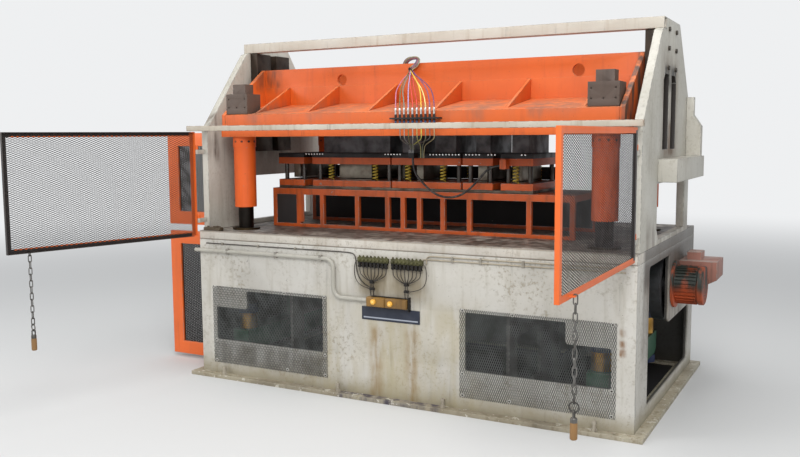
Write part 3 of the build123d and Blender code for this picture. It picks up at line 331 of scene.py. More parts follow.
def tube_finish(name, tint):
    """Coloured air tube that turns grey with dust where the tubes are bound together."""
    r = Recipe(name)
    bloom = r.cloud(0.03, detail=4).step(0.35, 0.7)
    grey = r.axis(2).step(2.055, 2.105) * 0.6 + bloom * 0.2
    colour = r.mix(grey, tint, (108, 104, 110))
    return r.finish(colour, 0.32 + bloom * 0.2, 0.0, ((r.cloud(0.002, detail=2), 0.0002),))


# ---------------------------------------------------------------- mesh making
class Shape:
    """Gathers surfaces worked out as whole arrays and turns them into one closed mesh."""

    def __init__(self):
        self.points = []
        self.quads = []
        self.total = 0

    def grids(self, points, loop_u=False, loop_v=False):
        """Adds K grids at once from an array of shape K, U, V, 3. Every cell becomes a quad, and
        a looped direction joins its last row back to its first."""
        count, rows, columns, _ = points.shape
        index = np.arange(count * rows * columns).reshape(count, rows, columns) + self.total
        if loop_u:
            index = np.concatenate([index, index[:, :1]], axis=1)
        if loop_v:
            index = np.concatenate([index, index[:, :, :1]], axis=2)
        quads = np.stack([index[:, :-1, :-1], index[:, 1:, :-1], index[:, 1:, 1:], index[:, :-1, 1:]],
                         axis=-1)
        self.points.append(points.reshape(-1, 3))
        self.quads.append(quads.reshape(-1, 4))
        self.total += count * rows * columns
        return self

    def rings(self, rings):
        """Closed rings K, U, V, 3 stacked along U. Each end is drawn to its middle, so it closes."""
        first = np.repeat(rings[:, :1].mean(axis=2, keepdims=True), rings.shape[2], axis=2)
        last = np.repeat(rings[:, -1:].mean(axis=2, keepdims=True), rings.shape[2], axis=2)
        return self.grids(np.concatenate([first, rings, last], axis=1), loop_v=True)

    def turned(self, origins, axis, profile, sides=16, start=0.0):
        """Solid of revolution about axis at each origin. profile rows are (distance along the
        axis, radius). A point is origin + along * axis + radius * (cos a * u + sin a * v)."""
        axis = np.asarray(axis, float) / np.linalg.norm(axis)
        other = np.array([0.0, 0.0, 1.0]) if abs(axis[2]) < 0.9 else np.array([1.0, 0.0, 0.0])
        u = np.cross(axis, other)
        u /= np.linalg.norm(u)
        v = np.cross(axis, u)
        angle = np.linspace(0, 2 * np.pi, sides, endpoint=False) + start
        round_ = np.cos(angle)[:, None] * u + np.sin(angle)[:, None] * v
        profile = np.asarray(profile, float)
        shape = profile[:, None, :1] * axis + profile[:, None, 1:] * round_[None]
        return self.rings(np.asarray(origins, float).reshape(-1, 1, 1, 3) + shape[None])

    def swept(self, path, radius, sides=8, closed=False):
        """Tube along a path N, 3. Each ring lies across the path's direction, on two axes got by
        crossing that direction with one fixed vector, and radius may change along the path."""
        path = np.asarray(path, float)
        ahead = np.roll(path, -1, axis=0) - np.roll(path, 1, axis=0)
        if not closed:
            ahead[0] = path[1] - path[0]
            ahead[-1] = path[-1] - path[-2]
        ahead /= np.linalg.norm(ahead, axis=1, keepdims=True)
        spread = np.abs(ahead).max(axis=0)
        fixed = np.eye(3)[int(np.argmin(spread))]
        u = np.cross(ahead, fixed)
        u /= np.linalg.norm(u, axis=1, keepdims=True)
        v = np.cross(ahead, u)
        angle = np.linspace(0, 2 * np.pi, sides, endpoint=False)
        reach = np.broadcast_to(np.asarray(radius, float), path.shape[:1])[:, None, None]
        round_ = np.cos(angle)[:, None] * u[:, None] + np.sin(angle)[:, None] * v[:, None]
        rings = path[:, None] + reach * round_
        return self.grids(rings[None], loop_u=True, loop_v=True) if closed else self.rings(rings[None])

    def slabs(self, lows, highs, radius=0.003, corner=3, upright=2):
        """Blocks between corner pairs, rounded: a rounded rectangle is carried up one axis, and
        its first and last rings are drawn in by the radius."""
        lows = np.asarray(lows, float).reshape(-1, 3)
        highs = np.asarray(highs, float).reshape(-1, 3)
        order = [axis for axis in (0, 1, 2) if axis != upright] + [upright]
        quarter = np.linspace(0, np.pi / 2, corner)
        angle = (np.arange(4)[:, None] * np.pi / 2 + quarter).ravel()
        sign = np.repeat([[1, 1], [-1, 1], [-1, -1], [1, -1]], corner, axis=0)
        arc = np.stack([np.cos(angle), np.sin(angle)], axis=1)
        half = (highs - lows)[:, order] / 2
        middle = (highs + lows)[:, order] / 2
        inset = np.array([radius, radius * 0.3, 0.0, 0.0, radius * 0.3, radius])
        rise = np.array([0.0, radius * 0.3, radius, -radius, -radius * 0.3, 0.0])
        top = np.array([-1, -1, -1, 1, 1, 1])
        core = np.maximum(half[:, None, None, :2] - radius, 0)
        flat = core * sign + (radius - inset)[None, :, None, None] * arc
        height = top * half[:, None, 2:3].reshape(-1, 1) + rise
        height = np.repeat(height[:, :, None, None], flat.shape[2], axis=2)
        rings = np.concatenate([flat, height], axis=3) + middle[:, None, None]
        back = np.empty_like(rings)
        back[..., order] = rings
        return self.rings(back)

    def mesh(self, name):
        mesh = bpy.data.meshes.new(name)
        mesh.from_pydata(np.concatenate(self.points).tolist(), [], np.concatenate(self.quads).tolist())
        return mesh

    def build(self, name, finish, slot, body="press_frame", replaces=""):
        """One piece with doubles merged, and the CAD node that it stands for, if any. The slot is not used.
        """
        mesh = self.mesh(name)
        work = bmesh.new()
        work.from_mesh(mesh)
        loose = 1e-6
        bmesh.ops.remove_doubles(work, verts=work.verts, dist=loose)
        bmesh.ops.dissolve_degenerate(work, edges=work.edges, dist=loose)
        piece = finished(name, work, mesh, 40, finish, body)
        if replaces:
            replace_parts(piece, replaces)


def finished(name, work, mesh, angle, finish, body):
    """Writes the work into the mesh, faces outwards and edges sharp past an angle in degrees, and
    returns it as an object that rides the body."""
    bmesh.ops.recalc_face_normals(work, faces=work.faces)
    work.to_mesh(mesh)
    work.free()
    mesh.shade_smooth()
    mesh.set_sharp_from_angle(angle=math.radians(angle))
    mesh.materials.append(finish)
    piece = placed(name, mesh)
    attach(piece, body)
    return piece


def eased(points, rounds=3):
    """Smooth line through a polygon's runs: each round keeps the quarter points of every run
    (corner cutting), with the two end points held."""
    points = np.asarray(points, float)
    for _ in range(rounds):
        near = points[:-1] * 0.75 + points[1:] * 0.25
        far = points[:-1] * 0.25 + points[1:] * 0.75
        inner = np.stack([near, far], axis=1).reshape(-1, 3)
        points = np.concatenate([points[:1], inner[1:-1], points[-1:]])
    return points


def soften(finish, width, *nodes):
    """Copies of CAD nodes with their loose triangles merged and their edges rounded. The narrow
    faces of the rounding carry the attribute "worn", which the paint reads for bare corners."""
    loose, flat, corner = 2e-5, math.radians(1), math.radians(30)
    for node in nodes:
        work = bmesh.new()
        work.from_mesh(frame["nodes"][node].data)
        worn = work.faces.layers.float.new("worn")
        bmesh.ops.remove_doubles(work, verts=work.verts, dist=loose)
        bmesh.ops.dissolve_limit(work, angle_limit=flat, verts=work.verts, edges=work.edges)
        sharp = [edge for edge in work.edges
                 if len(edge.link_faces) == 2 and edge.calc_face_angle(0) > corner]
        made = bmesh.ops.bevel(work, geom=sharp, offset=width, offset_type="OFFSET", segments=2,
                               profile=0.6, affect="EDGES", clamp_overlap=True)
        for face in made["faces"]:
            face[worn] = 1.0
        name = "edged_" + node
        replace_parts(finished(name, work, bpy.data.meshes.new(name), 42, finish, body_of[node]), node)


def coat(finish, *nodes):
    """Gives CAD nodes their finish and leaves their meshes alone."""
    for node in nodes:
        data = frame["nodes"][node].data
        data.materials.clear()
        data.materials.append(finish)


# ---------------------------------------------------------------- finishes of this press
def cream_body():
    stains_and_shade = [((x, FRONT, 0.30), (0.15, 0.03, 0.34), 0.10, (168, 156, 122), 0.6, 0.1)
              for x in (-0.06, 0.10, -0.40, 0.42)]
    stains_and_shade += [((0.0, FRONT, 0.76), (0.25, 0.03, 0.09), 0.06, (80, 64, 42), 1.1, 0.12),
               ((0.0, FRONT, 0.78), (0.24, 0.03, 0.12), 0.05, (146, 134, 108), 0.7, 0.0)]
    stains_and_shade += [((x, FRONT, 0.22), (0.030, 0.03, 0.25), 0.045, (138, 110, 60), 1.0, 0.03)
               for x in (-0.105, 0.145)]
    stains_and_shade += [((1.430, FRONT, z), (0.016, 0.03, 0.020), 0.012, (122, 84, 48), 1.1, 0.02)
               for z in (0.47, 0.52, 0.58)]
    stains_and_shade += [((1.5, 0.10, 0.88), (0.02, 0.80, 0.09), 0.05, (48, 41, 37), 1.0, 0.0),
               ((1.5, 0.00, 0.62), (0.02, 0.72, 0.28), 0.12, (88, 74, 60), 1.0, 0.12),
               ((-0.93, FRONT, 0.17), (0.44, 0.03, 0.07), 0.03, (112, 104, 90), 0.7, 0.06)]
    return worn_paint("cream_base_paint", (200, 197, 190), (168, 162, 148), streak=0.55, grime=0.4,
                      chips=0.3, stains_and_shade=stains_and_shade, rough=0.5, mottle=0.55,
                      foot=(0.02, 0.17, (152, 142, 116), 0.75),
                      # inside: the base's inner faces get painted shade.
                      inside=((0, 0, 0.48), (1.491, 0.853, 0.468)))


def cream_frame():
    stains_and_shade = [((-1.46, -0.735, 1.66), (0.035, 0.040, 0.17), 0.06, (74, 54, 40), 1.2, 0.06),
              ((0, PRESS_Y, 1.80), (None, 0.24, 0.30), 0.08, (112, 92, 72), 0.6, 0.06),
              ((1.5, PRESS_Y, 1.98), (0.02, 0.17, 0.07), 0.03, (30, 26, 24), 1.0, 0.05),
              ((1.5, PRESS_Y, 1.62), (0.02, 0.15, 0.10), 0.03, (104, 80, 56), 1.0, 0.05),
              ((1.5, 0.0, 1.05), (0.03, 0.7, 0.10), 0.08, (120, 108, 94), 0.8, 0.1)]
    # Painted shade with grease: the gib windows of the frames, their inner faces too, near black.
    stains_and_shade += [((0, PRESS_Y + offset, 1.78), (1.4975, 0.080, 0.222), 0.001, (40, 33, 28), 1.0, 0.0)
               for offset in (-0.1125, 0.1125)]
    return worn_paint("cream_frame_paint", (194, 191, 181), (162, 156, 142), streak=0.5, grime=0.28,
                      chips=0.2, stains_and_shade=stains_and_shade, rough=0.5, mottle=0.3)


def cream_bed():
    stains_and_shade = [((0, 0.02, 1.01), (1.47, 0.86, 0.004), 0.008, (58, 48, 40), 0.95, 0.02),
              ((1.5, 0.1, 0.98), (0.02, 0.80, 0.06), 0.05, (50, 43, 39), 1.0, 0.0),
              ((0, FRONT, 0.953), (1.5, 0.003, 0.004), 0.005, (96, 82, 64), 0.9, 0.0),
              ((0, FRONT, 1.006), (1.5, 0.003, 0.003), 0.005, (112, 96, 76), 0.8, 0.0)]
    return worn_paint("cream_bed_paint", (204, 199, 190), (160, 146, 126), streak=0.45, dust=(78, 62, 50),
                      dust_and_top_light_amount=0.7, grime=0.4, chips=0.3, rough=0.5, mottle=0.4, stains_and_shade=stains_and_shade,
                      # inside: the bed's underside within the base gets painted shade.
                      inside=((0, 0, 0.95), (1.491, 0.853, 0.003)))


def orange_ram():
    stains_and_shade = [((x, -0.50, 1.83), (0.20, 0.22, 0.05), 0.06, (150, 100, 78), 0.8, 0.12)
              for x in (-1.0, -0.55, -0.05, 0.45, 0.9)]
    stains_and_shade += [((x, -0.60, 1.80), (0.05, 0.14, 0.06), 0.04, (128, 90, 72), 0.6, 0.08)
               for x in (-1.12, -0.62, 0.02, 0.50, 0.88)]
    stains_and_shade += [((-1.30, -0.27, 2.06), (0.07, 0.1, 0.07), 0.05, (92, 58, 42), 0.9, 0.06),
               # Painted shade: near-black band along the ram's underside.
               ((0, PRESS_Y, 1.655), (1.4, 0.62, 0.012), 0.01, SHADE_BLACK, 0.8, 0.02),
               ((1.385, -0.45, 1.92), (0.035, 0.3, 0.22), 0.02, (84, 62, 52), 1.0, 0.05)]
    return worn_paint("ram_orange_paint", (216, 98, 30), (188, 84, 34), streak=0.5, dust=(216, 124, 72),
                      dust_and_top_light_amount=0.75, grime=0.32, chips=0.2, rough=0.5, stains_and_shade=stains_and_shade,
                      edge=(150, 96, 66))


def orange_guard(name, dark=()):
    """Guard paint, with the bars named by dark (patch boxes) painted black-brown. On the left door these bars
    are painted shade.
    """
    stains_and_shade = [(*box, 0.004, (44, 36, 32), 1.6, 0.0) for box in dark]
    return worn_paint(name, (232, 106, 38), (204, 94, 44), streak=0.35, stains_and_shade=stains_and_shade,
                      dust=(226, 142, 96), dust_and_top_light_amount=0.5, grime=0.16, chips=0.2, rough=0.42)


def spacer_steel():
    """Grey spacer blocks over a plate painted near black. The plate ends at its own height."""
    r, film, lines = ground("spacer_steel", (12, 1, 1))
    colour = r.mix(film * 0.75, (112, 112, 114), (50, 46, 44))
    colour = r.mix(r.axis(2).step(1.540, 1.536) * 0.9, colour, (26, 23, 22))
    return r.finish(colour, 0.42 + film * 0.2, 0.5, ((lines, 0.0003), (film, 0.0004)))


def gib_steel():
    """Ground guide strips, black with grease. The side that shows in the frame's windows is darker still, in
    streaks: grease, and painted shade of the window.
    """
    r, film, lines = ground("gib_steel", (1, 1, 12))
    colour = r.mix(film * 0.7, (66, 54, 44), (32, 26, 21))
    drips = r.cloud(0.03, (1, 1, 8), detail=4, seed=5.0).step(0.35, 0.6) * 0.3 + 0.7
    # Painted shade with grease streaks on the side seen in the windows.
    outer = abs(r.axis(0)).step(1.440, 1.446) * r.axis(2).step(2.03, 1.99)
    colour = r.mix(outer * drips, colour, (32, 26, 22))
    return r.finish(colour, 0.4 + film * 0.2, 0.6, ((lines, 0.0003), (film, 0.0004)))


def plate_enamel():
    """Navy enamel of the blank plate, hazed, with one pale line along it."""
    r = Recipe("blank_plate_enamel")
    line = r.patch((0, FRONT, 0.5245), (0.190, None, 0.0042), 0.0012)
    haze = r.cloud(0.05, detail=5).step(0.4, 0.7)
    colour = r.mix(haze * 0.25, (30, 36, 52), (74, 78, 88))
    colour = r.mix(line * 0.85, colour, (168, 174, 186))
    return r.finish(colour, 0.35 + haze * 0.3, 0.0, ((haze, 0.0003), (line, 0.0004)))


# ---------------------------------------------------------------- settings a user may change
class PressSettings(bpy.types.PropertyGroup):
    edge_round: FloatProperty(name="Edge rounding", description="Rounding of plate edges", default=0.003,
                              min=0.001, max=0.01, unit="LENGTH")
    mesh_long: FloatProperty(name="Diamond length", description="Long way of the expanded metal",
                             default=0.031, unit="LENGTH")
    mesh_short: FloatProperty(name="Diamond width", description="Short way of the expanded metal",
                              default=0.0127, unit="LENGTH")
    mesh_strand: FloatProperty(name="Strand width", description="Width of one strand", default=0.0024,
                               unit="LENGTH")
    link_count: IntProperty(name="Chain links", description="Links of each door chain", default=12, min=2)
    lens: FloatProperty(name="Lens", description="Camera focal length", default=39.25, unit="CAMERA")
    eye: FloatVectorProperty(name="Eye", description="Where the camera stands", subtype="TRANSLATION",
                             default=(2.543, -5.505, 1.647))
    floor_colour: FloatVectorProperty(name="Floor", description="Floor colour", subtype="COLOR", size=4,
                                      default=(0.62, 0.62, 0.61, 1.0), min=0, max=1)


def settings():
    return bpy.context.scene.press_settings


# ---------------------------------------------------------------- operators
class PRESS_OT_stage(bpy.types.Operator):
    """Camera, floor, world and the soft lamps"""
    bl_idname = "press.stage"
    bl_label = "Stage"

    def execute(self, context):
        values = settings()
        scene = context.scene
        scene.view_settings.view_transform = "Standard"
        camera = bpy.data.cameras.new("photo_camera")
        camera.lens = values.lens
        camera.sensor_width = 36
        scene.camera = placed("photo_camera", camera, values.eye)
        scene.camera.rotation_euler = tuple(math.radians(a) for a in (83.963, 0.373, 27.994))
        studio = Recipe("studio", "worlds")
        scene.world = studio.block
        rays = [studio.add("ShaderNodeLightPath", output=ray)
                for ray in ("Is Camera Ray", "Is Transmission Ray")]
        soft = studio.add("ShaderNodeBackground", None, {0: (0.93, 0.96, 1.0, 1.0), 1: 0.55})
        white = studio.add("ShaderNodeBackground", None, {0: BACKDROP, 1: 1.0})
        both = studio.add("ShaderNodeMixShader", None, {0: rays[0] | rays[1], 1: soft, 2: white})
        studio.add("ShaderNodeOutputWorld", None, {0: both})
        aim = np.array([0.0, 0.0, 1.0])
        for name, place, size, power in (("key", (3.2, -6.5, 6.0), 4.5, 420),
                                         ("fill", (-5.5, -5.0, 3.5), 4.0, 130),
                                         ("top", (0.0, -1.0, 7.0), 5.0, 210)):
            lamp = bpy.data.lights.new(name, "AREA")
            lamp.shape = "DISK"
            lamp.size = size
            lamp.energy = power
            x, y, z = aim - place
            placed(name, lamp, place).rotation_euler = (math.atan2(math.hypot(x, y), -z), 0,
                                                        math.atan2(-x, y))
        r = Recipe("studio_floor")
        away = r.add("ShaderNodeVectorMath", {"operation": "LENGTH"}, {0: r.place()}, 1)
        colour = r.mix(r.cloud(1.5, detail=3) * 0.15, tuple(values.floor_colour), (0.55, 0.55, 0.54, 1.0))
        shader = r.add("ShaderNodeBsdfPrincipled", None, {"Base Color": colour, "Roughness": 0.75})
        glow = r.add("ShaderNodeEmission", None, {0: BACKDROP, 1: 1.0})
        blend = r.add("ShaderNodeMixShader", None, {0: away.step(4.0, 14.0), 1: shader, 2: glow})
        r.add("ShaderNodeOutputMaterial", None, {0: blend})
        reach, sunk = 40, -0.0005
        side = np.linspace(-reach, reach, 5)
        x, y = np.meshgrid(side, side, indexing="ij")
        mesh = Shape().grids(row(x, y, sunk)[None]).mesh("studio_floor")
        mesh.materials.append(r.block)
        placed("studio_floor", mesh)
        return {"FINISHED"}


class PRESS_OT_base(bpy.types.Operator):
    """Cream base, bed, sole and the parts seen through its openings"""
    bl_idname = "press.base"
    bl_label = "Base"

    def execute(self, context):
        width = settings().edge_round
        soften(cream_body(), width, "base_side_plates", "base_end_plates", "base_stiffeners")
        soften(worn_paint("corbel_paint", (158, 104, 88), (104, 78, 68), streak=0.7, dust=(176, 160, 150),
                          dust_and_top_light_amount=0.7, grime=0.6, chips=0.5), width, "motor_corbel")
        stains_and_shade = [((-0.02, -0.90, 0.01), (0.36, 0.06, 0.03), 0.03, (58, 52, 66), 0.95, 0.06)]
        soften(worn_paint("sole_paint", (178, 170, 150), (120, 108, 84), streak=0.7, grime=0.9, chips=1.1,
                          rough=0.6, edge=(216, 212, 200), mottle=0.8, stains_and_shade=stains_and_shade), width, "sole_frame")
        soften(cream_bed(), width, "bed_plate")
        soften(worn_paint("machine_green_paint", (58, 104, 78), (38, 66, 52), grime=0.6, chips=0.3),
               0.004, "crank_cases", "crossheads")
        coat(worn_paint("screw_paint", (176, 168, 152), (120, 108, 90), grime=0.7, chips=0.4),
             "levelling_screws")
        coat(machined("oily_bronze", (84, 68, 46), (36, 28, 22), 0.4, 0.7), "rod_bushes")
        coat(machined("brass_collar", (196, 152, 74), (110, 78, 38), 0.3, 0.5), "brass_collars")
        coat(worn_paint("navy_paint", (38, 50, 84), (24, 30, 46), grime=0.5, chips=0.3), "rod_nuts")
        coat(cast("wheel_iron", (70, 70, 72), (36, 32, 28), 0.5, 0.5, 0.5), "flywheel")
        coat(machined("oiled_shaft", (140, 136, 126), (82, 66, 48), 0.3, 0.5, (12, 1, 1)),
             "flywheel_shaft", "line_shaft")
        return {"FINISHED"}


class PRESS_OT_frames(bpy.types.Operator):
    """End frames, shelves, tie tube, rail, gibs and hinge brackets"""
    bl_idname = "press.frames"
    bl_label = "Frames"

    def execute(self, context):
        width = settings().edge_round
        soften(cream_frame(), width, "end_frames", "shelf_beams", "hinge_brackets")
        soften(worn_paint("tube_paint", (202, 197, 186), (156, 138, 116), streak=0.5, grime=0.3,
                          chips=0.2), width, "top_tie_tube")
        soften(worn_paint("rail_paint", (196, 190, 176), (150, 130, 106), streak=0.5, grime=0.4, chips=0.5,
                          edge=(96, 64, 44)), 0.004, "guard_rail")
        soften(gib_steel(), 0.002, "frame_gibs")
        coat(cast("black_bolt", (72, 66, 58), (30, 26, 22), 0.5, 0.5), "frame_bolts")
        return {"FINISHED"}


class PRESS_OT_ram(bpy.types.Operator):
    """Orange ram, clamp blocks, rods and sleeves"""
    bl_idname = "press.ram"
    bl_label = "Ram"

    def execute(self, context):
        soften(orange_ram(), settings().edge_round,
               "ram_slab", "ram_webs", "ram_end_plates", "ram_shelves", "ram_gussets")
        soften(machined("shoe_steel", (110, 98, 82), (60, 46, 34), 0.4, 0.7), 0.002, "ram_guide_shoes")
        soften(worn_paint("clamp_paint", (98, 82, 72), (64, 50, 42), streak=0.6, grime=0.6, chips=0.3,
                          dust=(146, 136, 126), dust_and_top_light_amount=0.5), 0.0025, "rod_clamp_blocks")
        coat(machined("pull_rod_steel", (42, 37, 33), (18, 16, 14), 0.3, 0.8), "pull_rods")
        coat(worn_paint("sleeve_paint", (234, 98, 24), (194, 80, 28), streak=0.5, grime=0.45, chips=0.3),
             "guide_sleeves")
        return {"FINISHED"}


class PRESS_OT_dies(bpy.types.Operator):
    """Die support, shoes, springs, guide pins and tool blocks"""
    bl_idname = "press.dies"
    bl_label = "Dies"

    def execute(self, context):
        soften(worn_paint("die_orange_paint", (210, 90, 28), (138, 66, 28), streak=0.7, dust=(100, 76, 62),
                          dust_and_top_light_amount=0.85, grime=0.7, chips=0.5, rough=0.5),
               settings().edge_round, "die_support_frame", "lower_die_shoes", "upper_die_shoes")
        soften(machined("die_plate_steel", (112, 102, 90), (60, 48, 38), 0.45, 0.7, (12, 1, 1)),
               0.002, "die_sub_plate")
        soften(spacer_steel(), 0.002, "die_spacers")
        tool = machined("tool_block_steel", (140, 134, 122), (84, 72, 58), 0.42, 0.5, (1, 1, 1))
        soften(tool, 0.0015, "lower_tool_blocks")
        soften(tool, 0.002, "upper_tool_blocks")
        coat(machined("guide_pin_steel", (96, 92, 88), (44, 38, 32), 0.25, 0.5), "die_guide_pins")
        coat(worn_paint("spring_yellow_paint", (204, 178, 58), (116, 98, 36), grime=0.5, chips=0.4),
             "die_springs")
        coat(worn_paint("dark_panel_paint", (44, 40, 40), (28, 24, 22), grime=0.4), "support_panel")
        return {"FINISHED"}


def strands(shape, corner, along, up, width, height, wide=1.0, thickness=0.0024):
    """Expanded metal as zigzag strands. Strand i lies i half pitches up; its middle line is a
    triangle wave along the sheet, a quarter pitch high, and every other strand runs half a wave
    late, so neighbours touch at the knuckles. The wave also leans each strand out of the plane."""
    values = settings()
    strand = values.mesh_strand * wide
    corner, along, up = (np.asarray(v, float) for v in (corner, along, up))
    out = np.cross(along, up)
    columns = int(width // (values.mesh_long / 2))
    step = width / columns
    rows = int(height // (values.mesh_short / 2))
    rise = height / rows
    t = np.arange(columns + 1)
    i = np.arange(rows)[:, None]
    wave = 1.0 - 2.0 * ((t + i) % 2)
    tilt = thickness * 0.35
    middle = (corner + (t * step)[None, :, None] * along
              + ((i + 0.5) * rise + wave * (rise / 2 - strand * 0.25))[..., None] * up
              + (wave * tilt)[..., None] * out)
    half = strand / 2 * math.hypot(step, rise) / step, thickness / 2 - tilt * 0.5
    section = np.array([(-1, -1), (1, -1), (1, 1), (-1, 1)]) * half
    return shape.rings(middle[:, :, None] + section[:, :1] * up + section[:, 1:] * out)


def door_axes(side, opened):
    """Foot of a drawn door's hinge line, then the directions along the door and across it."""
    turn = math.radians(opened)
    along = np.array([-side * math.cos(turn), -math.sin(turn), 0.0])
    return np.array([side * HINGE_X, HINGE_Y, 0.0]), along, np.array([along[1], -along[0], 0.0])


class PRESS_OT_guards(bpy.types.Operator):
    """Doors, end guards and window guards with their expanded metal"""
    bl_idname = "press.guards"
    bl_label = "Guards"

    def execute(self, context):
        width = 0.0018
        # Painted shade: the left door's bars, seen from their backlit inner side, are painted black-brown.
        # right_dark darkens the right door's hinge-side bar.
        left_shaded_bars = (((-1.75, -1.6, 1.675), (0.5, 0.665, 0.012)), ((-1.75, -1.6, 0.985), (0.5, 0.665, 0.012)),
                     ((-1.82, -2.14, 1.33), (0.1, 0.035, 0.4)))
        right_dark = (((1.48, -0.92, 1.33), (0.1, 0.02, 0.34)),)
        soften(orange_guard("left_door_paint", left_shaded_bars), width, "left_door_frame")
        soften(orange_guard("right_door_paint", right_dark), width, "right_door_frame")
        soften(orange_guard("guard_orange_paint"), width, "end_guard_frames")
        inset, behind, bottom = 0.024, 0.0055, (0, 0, 0.981)
        dark = machined("expanded_dark", (38, 36, 36), (24, 22, 21), 0.5, 0.6, metal=0.2)
        for side, name, opened in DOORS:
            hinge, along, normal = door_axes(side, opened)
            corner = hinge + along * inset - normal * side * behind + bottom
            strands(Shape(), corner, along, UP, 1.282, 0.698).build(
                name + "_door_expanded", dark, "mesh_dark", name + "_door", name + "_door_mesh")
        ends = Shape()
        for low, high in ((0.125, 0.865), (1.105, 1.585)):
            strands(ends, (-1.935, -0.56, low), (1, 0, 0), UP, 0.34, high - low, 2.5)
        ends.build("end_guard_expanded",
                   machined("guard_mesh_black", (26, 22, 20), (18, 15, 14), 0.5, 0.6, metal=0.1),
                   "mesh_dark", replaces="end_guard_mesh")
        windows = Shape()
        for near in (-1.398, 0.465):
            strands(windows, (near + 0.933, -0.8622, 0.095), UP, (-1, 0, 0), 0.537, 0.933, 1.0, 0.0022)
        windows.build("window_guard_expanded",
                      machined("expanded_steel", (104, 106, 104), (50, 48, 46), 0.6, 0.7, metal=0.2),
                      "mesh_dark", replaces="window_guard_sheets")
        spots = np.array([(s * x, FRONT, z) for s in (-1, 1) for x, z in (
            (0.484, 0.622), (0.797, 0.622), (1.375, 0.622), (0.484, 0.241), (1.375, 0.252),
            (0.782, 0.112), (1.376, 0.110), (0.484, 0.110))])
        Shape().turned(spots, OUT, [(0.0, 0.011), (0.0032, 0.011), (0.0035, 0.0105)], 20).build(
            "guard_washers", machined("washer_zinc", (206, 204, 198), (140, 134, 124), 0.35, 0.3),
            "screw_zinc")
        Shape().turned(spots + (0, -0.0005, 0), OUT, [(0.0, 0.0062), (0.0032, 0.006), (0.0034, 0.0045)],
                       6).build("guard_screws", cast("screw_black", (54, 48, 42), (28, 24, 20)),
                                "bolt_black")
        return {"FINISHED"}


def hang_chain(side, name, opened, zinc, brass):
    """Links, ring, shackle and lock under a door's eye. A link's wire runs round two half turns
    of radius bend that lie straight apart on each side of its middle."""
    hinge, along, normal = door_axes(side, opened)
    eye = hinge + along * 1.165 + normal * (-side * 0.034)
    up = np.array(UP, float)
    count = settings().link_count
    top, pitch, half_link = 1.0002, 0.038, 0.0252
    bend, straight, wire = 0.009, 0.0133, 0.003
    ring_reach, ring_wire, ring_drop = 0.0215, 0.0035, 0.0112
    shackle_reach, shackle_wire, shackle_drop, lock_drop = 0.0095, 0.004, 0.0092, 0.046
    u = np.linspace(0, 2 * np.pi, 24, endpoint=False)
    v = np.linspace(0, 2 * np.pi, 8, endpoint=False)
    sine, cosine = np.sin(u)[:, None], np.cos(u)[:, None]
    ring_up = (bend + wire * np.cos(v)) * sine + straight * np.sign(sine) * (np.abs(sine) > 1e-9)
    ring_side = (bend + wire * np.cos(v)) * cosine
    ring_out = np.broadcast_to(wire * np.sin(v), ring_up.shape)
    heights = top - np.arange(count) * pitch - half_link
    shape = Shape()
    for parity, flat, out in ((0, normal, along), (1, along, normal)):
        link = ring_up[..., None] * up + ring_side[..., None] * flat + ring_out[..., None] * out
        centres = eye + heights[parity::2, None] * up
        shape.grids(centres[:, None, None] + link[None], loop_u=True, loop_v=True)
    ring_z = top - (count - 1) * pitch - 2 * half_link - ring_drop
    circle = eye + up * ring_z + ring_reach * (cosine * normal + sine * up)
    shape.swept(circle, ring_wire, 10, closed=True)
    shackle_top = ring_z - shackle_drop
    lock_top = shackle_top - lock_drop
    a = np.linspace(0, np.pi, 13)
    arch = np.concatenate([[[1, -3.0]], np.stack([np.cos(a), np.sin(a)], axis=1), [[-1, -3.0]]])
    arch = shackle_reach * (arch[:, :1] * along + arch[:, 1:] * up)
    shape.swept(eye + up * (shackle_top - shackle_wire - shackle_reach) + arch, shackle_wire, 10)
    shape.turned([eye + up * (lock_top - 0.010)], UP,
                 [(0, 0.0155), (0.0, 0.0155), (0.016, 0.0150), (0.020, 0.0125)], 20)
    shape.build(name + "_chain_links", zinc, "chain_steel", name + "_chain", name + "_chain")
    Shape().turned([eye + up * (lock_top - 0.084)], UP,
                   [(0, 0.0125), (0.003, 0.0155), (0.010, 0.0162), (0.066, 0.0162), (0.072, 0.0150),
                    (0.0745, 0.0140)], 24).build(name + "_lock_body", brass, "box_brass", name + "_chain")


class PRESS_OT_chains(bpy.types.Operator):
    """Door chains with their ring and padlock"""
    bl_idname = "press.chains"
    bl_label = "Chains"

    def execute(self, context):
        zinc = machined("chain_zinc", (126, 124, 120), (52, 47, 42), 0.32, 0.7)
        brass = worn_paint("lock_lacquer", (150, 112, 66), (104, 76, 46), grime=0.5, chips=0.3,
                           edge=(196, 168, 120))
        for door in DOORS:
            hang_chain(*door, zinc, brass)
        return {"FINISHED"}


def manifolds(black):
    """The two lubrication manifolds with a union, a face plug and a hanging valve at each port."""
    castings = Shape()
    valves = Shape()
    for middle in MANIFOLDS:
        xs = middle + PORTS
        castings.slabs([(middle - 0.108, FRONT - 0.024, 0.872)], [(middle + 0.108, FRONT, 0.902)], 0.003)
        castings.turned(row(xs, FRONT - 0.017, 0.900), UP,
                        [(0, 0.009), (0.006, 0.009), (0.0065, 0.0055), (0.014, 0.005)], 6)
        castings.turned(row(xs, FRONT - 0.024, 0.886), OUT,
                        [(0, 0.0095), (0.0045, 0.009), (0.009, 0.006), (0.0098, 0.004)], 8)
        valves.turned(row(xs, FRONT - 0.017, 0.8725), DOWN,
                      [(0, 0.0125), (0.010, 0.0125), (0.012, 0.010), (0.022, 0.010), (0.024, 0.0125),
                       (0.030, 0.0125), (0.034, 0.006)], 10)
    castings.build("manifold_castings", cast("olive_casting", (86, 84, 50), (34, 30, 22), 0.5, 0.3, 0.6),
                   "manifold_metal", replaces="lube_manifolds")
    valves.build("manifold_valves", black, "manifold_metal")


